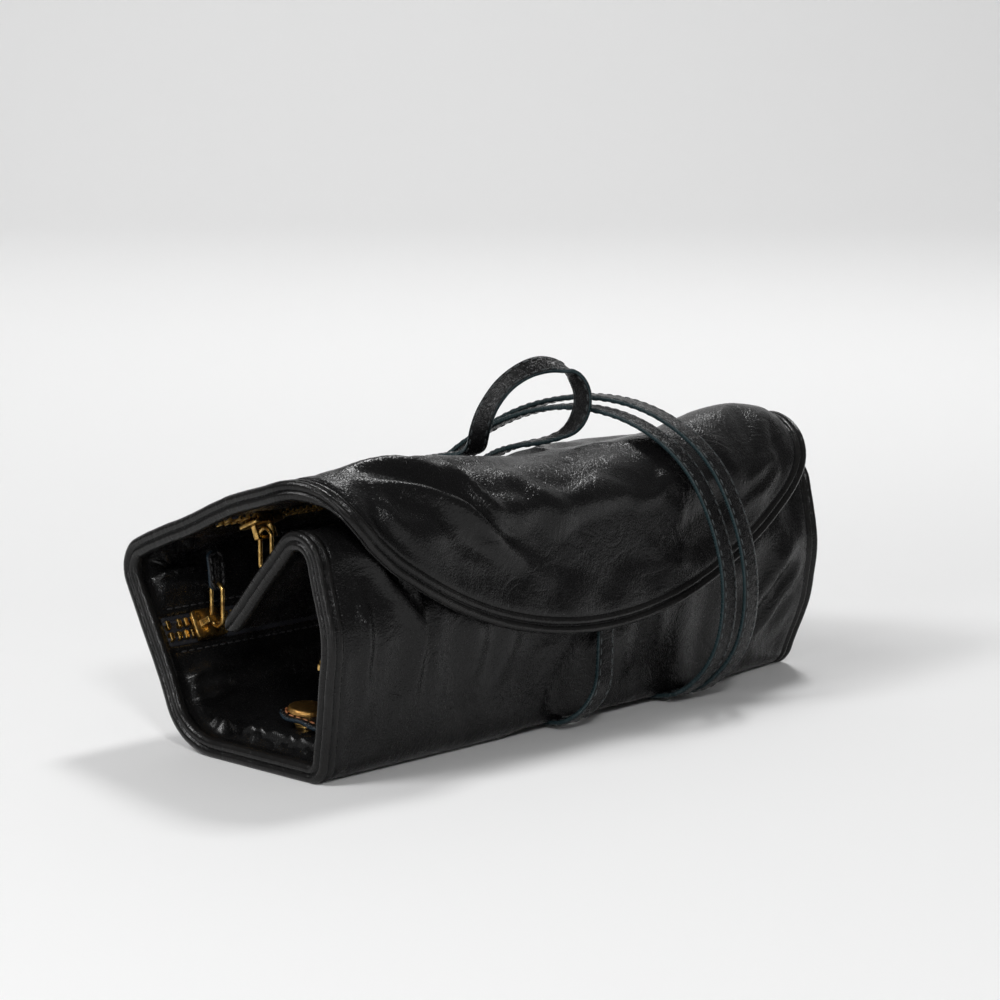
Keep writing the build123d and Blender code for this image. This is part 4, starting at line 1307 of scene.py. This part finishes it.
# %% Tapes and teeth
tape_section = (
    (-4.7, 0.0), (-4.7, 0.55), (-4.4, 0.62), (-3.7, 0.6), (-3.1, 0.7), (-2.9, 1.4), (-2.45, 1.75),
    (-2.0, 1.4), (-1.8, 0.7), (-0.9, 0.6), (0.0, 0.56), (0.9, 0.6), (1.8, 0.7), (2.0, 1.4),
    (2.45, 1.75), (2.9, 1.4), (3.1, 0.7), (3.7, 0.6), (4.4, 0.62), (4.7, 0.55), (4.7, 0.0),
)
tape_section = np.array(tape_section)
tape_aside, tape_lift = tape_section[None, :, 0], tape_section[None, :, 1]
stations = np.linspace(-105, 105, 106)[:, None]
tooth_count, tooth_pitch, stop_x = 78, 2.6, 103.7
tooth_row = (np.arange(tooth_count) - (tooth_count - 1) / 2) * tooth_pitch
for name, body in zip_body.items():
    tape_points = taper(on_zip(name, stations, tape_aside, tape_lift), lining_kept) * MM
    tape_flat = np.stack(np.broadcast_arrays(stations, tape_aside), -1)
    tape = add_tube(name + "_woven_tape", tape_points, tape_flat, zip_weave)
    lift = (0, *zip_directions(name)[2])
    teeth_rows = []
    for side in (-1, 1):
        across = side * tooth_pitch / 4 + tooth_row
        closed = smooth_step(slider_x[name], slider_x[name] + 5, across)
        across = np.concatenate([[-stop_x], across, [stop_x]])
        closed = np.concatenate([[0], closed, [0.6]])
        count = len(across)
        places = on_zip(name, across, side * (1.87 - 0.08 * closed), np.full(count, 0.6))
        forward, up = np.tile((-side * 1.0, 0, 0), (count, 1)), np.tile(lift, (count, 1))
        teeth_rows.append(copies(tooth, places, forward, up))
    teeth_points, teeth_faces = merged(teeth_rows)
    teeth_points = taper(teeth_points, lining_kept)
    teeth = add_mesh(name + "_brass_teeth", teeth_points * MM, teeth_faces, None, zip_brass)
    teeth.data.polygons.foreach_set("use_smooth", [False] * len(teeth.data.polygons))
    for piece, nodes, slot in (
        (tape, (name + "_tape",), "zip_tape"),
        (teeth, (name + "_teeth", name + "_stops"), "brass"),
    ):
        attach(piece, body)
        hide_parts(*nodes)
    print(name, "teeth faces:", len(teeth.data.polygons))

# %% [markdown]
# ## Sliders, rings and the snap's metal
#
# A cast slider has no sharp corner. Its CAD shape is right, so a copy of it has its doubles
# merged and its edges rounded with a bevel. The wire rings and the snap's parts keep their CAD
# shapes and only take the brass.

# %% Sliders
for name in zip_body:
    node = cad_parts[name + "_slider"]
    slider = bpy.data.objects.new(name + "_cast_slider", node.data.copy())
    bpy.context.scene.collection.objects.link(slider)
    edit_all(slider)
    bpy.ops.mesh.remove_doubles(threshold=0.00001)
    bpy.ops.mesh.normals_make_consistent(inside=False)
    bpy.ops.mesh.dissolve_limited(angle_limit=math.radians(2))
    bpy.ops.object.mode_set(mode="OBJECT")
    rounding = slider.modifiers.new("rounding", "BEVEL")
    rounding.width, rounding.segments, rounding.limit_method = 0.28 * MM, 2, "ANGLE"
    rounding.angle_limit = math.radians(35)
    bpy.ops.object.modifier_apply(modifier="rounding")
    bpy.ops.object.shade_smooth_by_angle(angle=math.radians(40))
    slider.data.materials.clear()
    slider.data.materials.append(zip_brass)
    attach(slider, name.replace("_zip", "_slider"))
    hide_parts(name + "_slider")
    print(name, "slider faces:", len(slider.data.polygons))

# %% Brass on the CAD's own metal
metal_nodes = {"snap_cap": cap_brass, "snap_socket": zip_brass, "snap_stud": zip_brass}
metal_nodes.update({name + "_ring": zip_brass for name in zip_body})
for node, metal in metal_nodes.items():
    for material_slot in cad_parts[node].material_slots:
        material_slot.material = metal
print("CAD nodes in brass:", len(metal_nodes))

# %% [markdown]
# ## Leather tags: pulls, snap tab and patch
#
# Each is two layers of hide sewn together round the edge: a rounded outline, a raised border, a
# line of stitches and a cut edge that shows the hide's blue-black dye. A helper makes such a tag
# from its length, width and corner, and gives the line its stitches follow.


# %% Tag helper
def inside_of(aside, along, half_width, length, corner):
    """How far a place on a tag is from its rounded outline."""
    past_side = np.abs(aside) - (half_width - corner)
    past_end = np.abs(along - length / 2) - (length / 2 - corner)
    outside = np.hypot(np.maximum(past_side, 0), np.maximum(past_end, 0))
    return corner - outside - np.minimum(np.maximum(past_side, past_end), 0)


def tag_points(half_width, length, corner, thick, root_corner=True):
    """Top and bottom of a tag as rows along it: places aside, along and up, and its flat map."""
    easing = (1 - np.cos(np.linspace(0, math.pi, 33))) / 2
    along = 0.02 + (length - 0.04) * easing
    into_end = np.maximum(0, corner - (length - along))
    if root_corner:
        into_end = np.maximum(into_end, corner - along)
    narrowing = corner - np.sqrt(np.maximum(corner**2 - into_end**2, 0))
    spread = np.sin(np.linspace(-math.pi / 2, math.pi / 2, 21))
    aside = (half_width - narrowing)[:, None] * spread
    along = np.broadcast_to(along[:, None], aside.shape)
    beyond_root = 0 if root_corner else 40
    inside = inside_of(aside, along + beyond_root, half_width, length + beyond_root, corner)
    edge = np.sqrt(1 - (1 - np.clip(inside / (0.45 * thick), 0, 1)) ** 2)
    border = 0.16 * swell(inside, 0.9, 0.5) - 0.28 * swell(inside, 1.75, 0.35)
    crown = 0.3 * smooth_step(2.0, 0.8 * half_width, inside)
    top = thick * (0.5 + 0.42 * edge) + (border + crown) * thick / 1.8
    bottom = thick * (0.5 - 0.42 * edge) - border * thick / 3.6
    upper = np.stack([aside, along, top], -1)
    lower = np.stack([aside, along, bottom], -1)[:, ::-1]
    raw = edge < 0.75
    return np.concatenate([upper, lower], 1), np.concatenate([raw, raw[:, ::-1]], 1)


def stitch_line(half_width, length, corner, inset, up):
    """The closed line at an inset in a tag's outline, at a height."""
    reach, radius = length / 2 - corner, max(corner - inset, 0.2)
    wide = half_width - corner
    line = []
    for quarter, (side, end) in enumerate(((1, 1), (-1, 1), (-1, -1), (1, -1))):
        for angle in np.linspace(quarter, quarter + 1, 9) * math.pi / 2:
            along = length / 2 + end * reach + radius * math.sin(angle)
            line.append((side * wide + radius * math.cos(angle), along, up))
    return np.array(line + line[:1])


def add_tag(name, points, raw, shape, material):
    """A tag's mesh, each of its points carried to its place by a function."""
    made = add_tube(name, shape(points) * MM, points[..., :2], material)
    set_values(made, "raw_edge", raw)
    set_values(made, "wear", 0.6 * raw)
    return made


# %% Pulls
pull_half, pull_long, pull_corner, pull_thick = 3.0, 12.0, 2.4, 1.7
pull_towards = {"top_zip": -1, "back_zip": 1, "front_zip": -1}
pull_sag = {"top_zip": 0.6, "back_zip": -1.4, "front_zip": 0.4}
for name in zip_body:
    seat, _, lift = zip_directions(name)
    bar = np.array([slider_x[name], *(seat + lift * 7.95)])
    down = np.array([0, 0, pull_towards[name]])
    facing = np.cross((1, 0, 0), down)

    def hang(points, bar=bar, down=down, facing=facing, sag=pull_sag[name]):
        """Carry a pull's points to where it hangs, with a slight curl."""
        reach = 8.35 + points[..., 1:2]
        curl = sag * (points[..., 1:2] / pull_long) ** 2
        off_middle = points[..., 2:] - pull_thick / 2 + curl
        return bar + points[..., :1] * [1, 0, 0] + reach * down + off_middle * facing

    points, raw = tag_points(pull_half, pull_long, pull_corner, pull_thick)
    pull = add_tag(name + "_leather_pull", points, raw, hang, trim_leather)
    rows_of_stitches = []
    for side in (-1, 1):
        sewn_up = pull_thick / 2 + side * (pull_thick / 2 - 0.04)
        line = hang(stitch_line(pull_half, pull_long, pull_corner, 0.95, sewn_up))
        rows_of_stitches.append(stitch_row(line, side * facing.astype(float), 2.5))
    pull_stitches = add_stitches(name + "_pull_stitches", rows_of_stitches, dark_thread)
    for piece in (pull, pull_stitches):
        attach(piece, name.replace("_zip", "_pull"))
    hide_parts(name + "_pull")
    corners = np.array(pull.bound_box) / MM
    print(name, "pull, mm:", corners.min(0).round(1), corners.max(0).round(1))

# %% Snap tab
tab_half, tab_long, tab_corner, tab_thick = 8.0, 31.5, 7.6, 1.8
tab_root = np.array([snap_x, -31.259, 9.3])
tab_tilt = math.radians(5.49)
tab_cos, tab_sin = math.cos(tab_tilt), math.sin(tab_tilt)


def lay_tab(points):
    """Carry the tab's points over the snap, its sides drooping a little."""
    aside, onward, up = points[..., :1], points[..., 1:2], points[..., 2:]
    droop = 0.5 * (aside / tab_half) ** 2 * smooth_step(6, 20, onward)
    wave = 0.35 * np.sin(onward * 0.55 + aside * 0.3) * np.abs(aside / tab_half) ** 2
    up = up - 0.4 * droop + wave
    back = tab_root[1] + onward * tab_cos - up * tab_sin
    high = tab_root[2] + onward * tab_sin + up * tab_cos
    return np.concatenate([tab_root[0] + aside, back, high], -1)


points, raw = tag_points(tab_half, tab_long, tab_corner, tab_thick, root_corner=False)
tab = add_tag("snap_tab_leather", points, raw, lay_tab, trim_leather)
sewn = lay_tab(stitch_line(tab_half, tab_long, tab_corner, 1.75, tab_thick - 0.1))
tab_row = stitch_row(sewn, np.array([0, -tab_sin, tab_cos]), 3.0)
tab_stitches = add_stitches("snap_tab_stitches", [tab_row], tab_thread)
for piece in (tab, tab_stitches):
    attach(piece, "snap_tab")
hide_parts("snap_tab")
print("snap tab faces:", len(tab.data.polygons))

# %% Lace patch
patch_low, patch_high = (np.array(corner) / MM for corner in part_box("lace_patch"))
patch_middle = (patch_low + patch_high) / 2
flap_run = unit(section_corners[-1] - section_corners[-2])
patch_half, patch_long, patch_corner, patch_thick = 6.0, 8.0, 1.5, 1.2
patch_down = np.array([0, *flap_run])
patch_up = np.array([0, -flap_run[1], flap_run[0]])


def lay_patch(points):
    """Carry the patch's points to the flap's inner face."""
    return (
        patch_middle
        + points[..., :1] * [1, 0, 0]
        + (points[..., 1:2] - patch_long / 2) * patch_down
        + (points[..., 2:] - patch_thick / 2) * patch_up
    )


points, raw = tag_points(patch_half, patch_long, patch_corner, patch_thick)
patch = add_tag("lace_patch_leather", points * [-1, 1, 1], raw, lay_patch, trim_leather)
sewn = lay_patch(stitch_line(patch_half, patch_long, patch_corner, 1.1, 1.12) * [-1, 1, 1])
patch_row = stitch_row(sewn, patch_up, 2.6)
patch_stitches = add_stitches("lace_patch_stitches", [patch_row], dark_thread)
for piece in (patch, patch_stitches):
    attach(piece, "flap")
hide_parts("lace_patch")
print("patch, mm:", patch_low.round(1), patch_high.round(1))

# %% [markdown]
# ## Pocket and hems
#
# A long pocket lies on the bottom. It's soft, so it is a low pillow whose open mouth at the near
# end is gathered into pleats. The lining is sewn down beside each zip with one row of stitches,
# which follows the lining's own folds.

# %% Pocket
pocket_end, pocket_front, pocket_back = 100.0, -31.7, 8.0
pocket_x = np.linspace(-pocket_end, pocket_end, 161)[1:-1]
pocket_y = np.linspace(pocket_front, pocket_back, 61)[1:-1]
pocket_x = np.concatenate([[-pocket_end, -99.9, -99.6, -99.0], pocket_x, [99.6, 99.9, pocket_end]])
pocket_y = np.concatenate([[pocket_front, -31.6, -31.3], pocket_y, [7.7, 7.9, pocket_back]])
across, back = np.meshgrid(pocket_x, pocket_y, indexing="ij")
from_mouth = across + pocket_end
side_in = np.minimum(back - pocket_front, pocket_back - back)
end_in = np.minimum(from_mouth * 3.5, pocket_end - across)
pillow = np.sqrt(1 - (1 - np.clip(np.minimum(side_in, end_in) / 5.0, 0, 1)) ** 2)
mouth = np.exp(-from_mouth / 20.0)
bent = back + 1.2 * np.sin(back * 0.45) + 1.5 * np.sin(from_mouth * 0.11)
pleats = 1 - np.abs(np.sin(math.pi * bent / 6.2)) ** 0.7 * 1.6
by_snap = np.exp(-(((across - snap_x) ** 2 + (back + 8.4) ** 2) / 90))
ripples = 0.25 * np.sin(across * 0.19 + 2 * np.sin(back * 0.13))
ripples = ripples + 0.2 * np.sin(back * 0.5 + across * 0.07)
pocket_height = 3.75 + (1.0 * pleats * mouth + ripples * 0.7) * (1 - by_snap) + 0.35 * by_snap
pocket_up = 4.85 + np.clip(pocket_height, 1.2, 4.15) * pillow
pocket_points = taper(np.stack([across, back, pocket_up], -1))
pocket_base = taper(np.stack([across, back, np.full(across.shape, 4.6)], -1))
count = across.size
shell = grid_faces(*across.shape)
base = grid_faces(*across.shape, start=count)[:, ::-1]
number = np.arange(count).reshape(across.shape)
rim_line = np.concatenate([number[:, 0], number[-1, 1:], number[-2::-1, -1], number[0, -2::-1]])
skirt = np.stack([rim_line[:-1], rim_line[:-1] + count, rim_line[1:] + count, rim_line[1:]], -1)
all_points = np.concatenate([pocket_points, pocket_base]).reshape(-1, 3) * MM
all_faces = np.concatenate([shell, base, skirt])
all_flat = np.concatenate([np.stack([across, back], -1).reshape(-1, 2)] * 2)
pocket = add_mesh("bottom_pocket_leather", all_points, all_faces, all_flat, lining_leather)
edit_all(pocket)
bpy.ops.mesh.normals_make_consistent(inside=False)
bpy.ops.object.mode_set(mode="OBJECT")
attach(pocket, "bottom")
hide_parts("bottom_pocket")
print("pocket faces:", len(pocket.data.polygons))

# %% Hem stitches
for name, body in zip_body.items():
    lift = np.array([0, *zip_directions(name)[2]])
    rows_of_stitches = []
    for side in (-1, 1):
        row = int(np.argmin(np.abs(wall_rows - zip_at[name] - side * hem_seam)))
        rows_of_stitches.append(stitch_row(lining_points[row, 2:-2] + lift * 0.12, lift, 3.0))
    hem = add_stitches(name + "_hem_stitches", rows_of_stitches, dark_thread)
    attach(hem, body)
    print(name, "hem stitches:", len(hem.data.polygons) // len(stitch[1]))
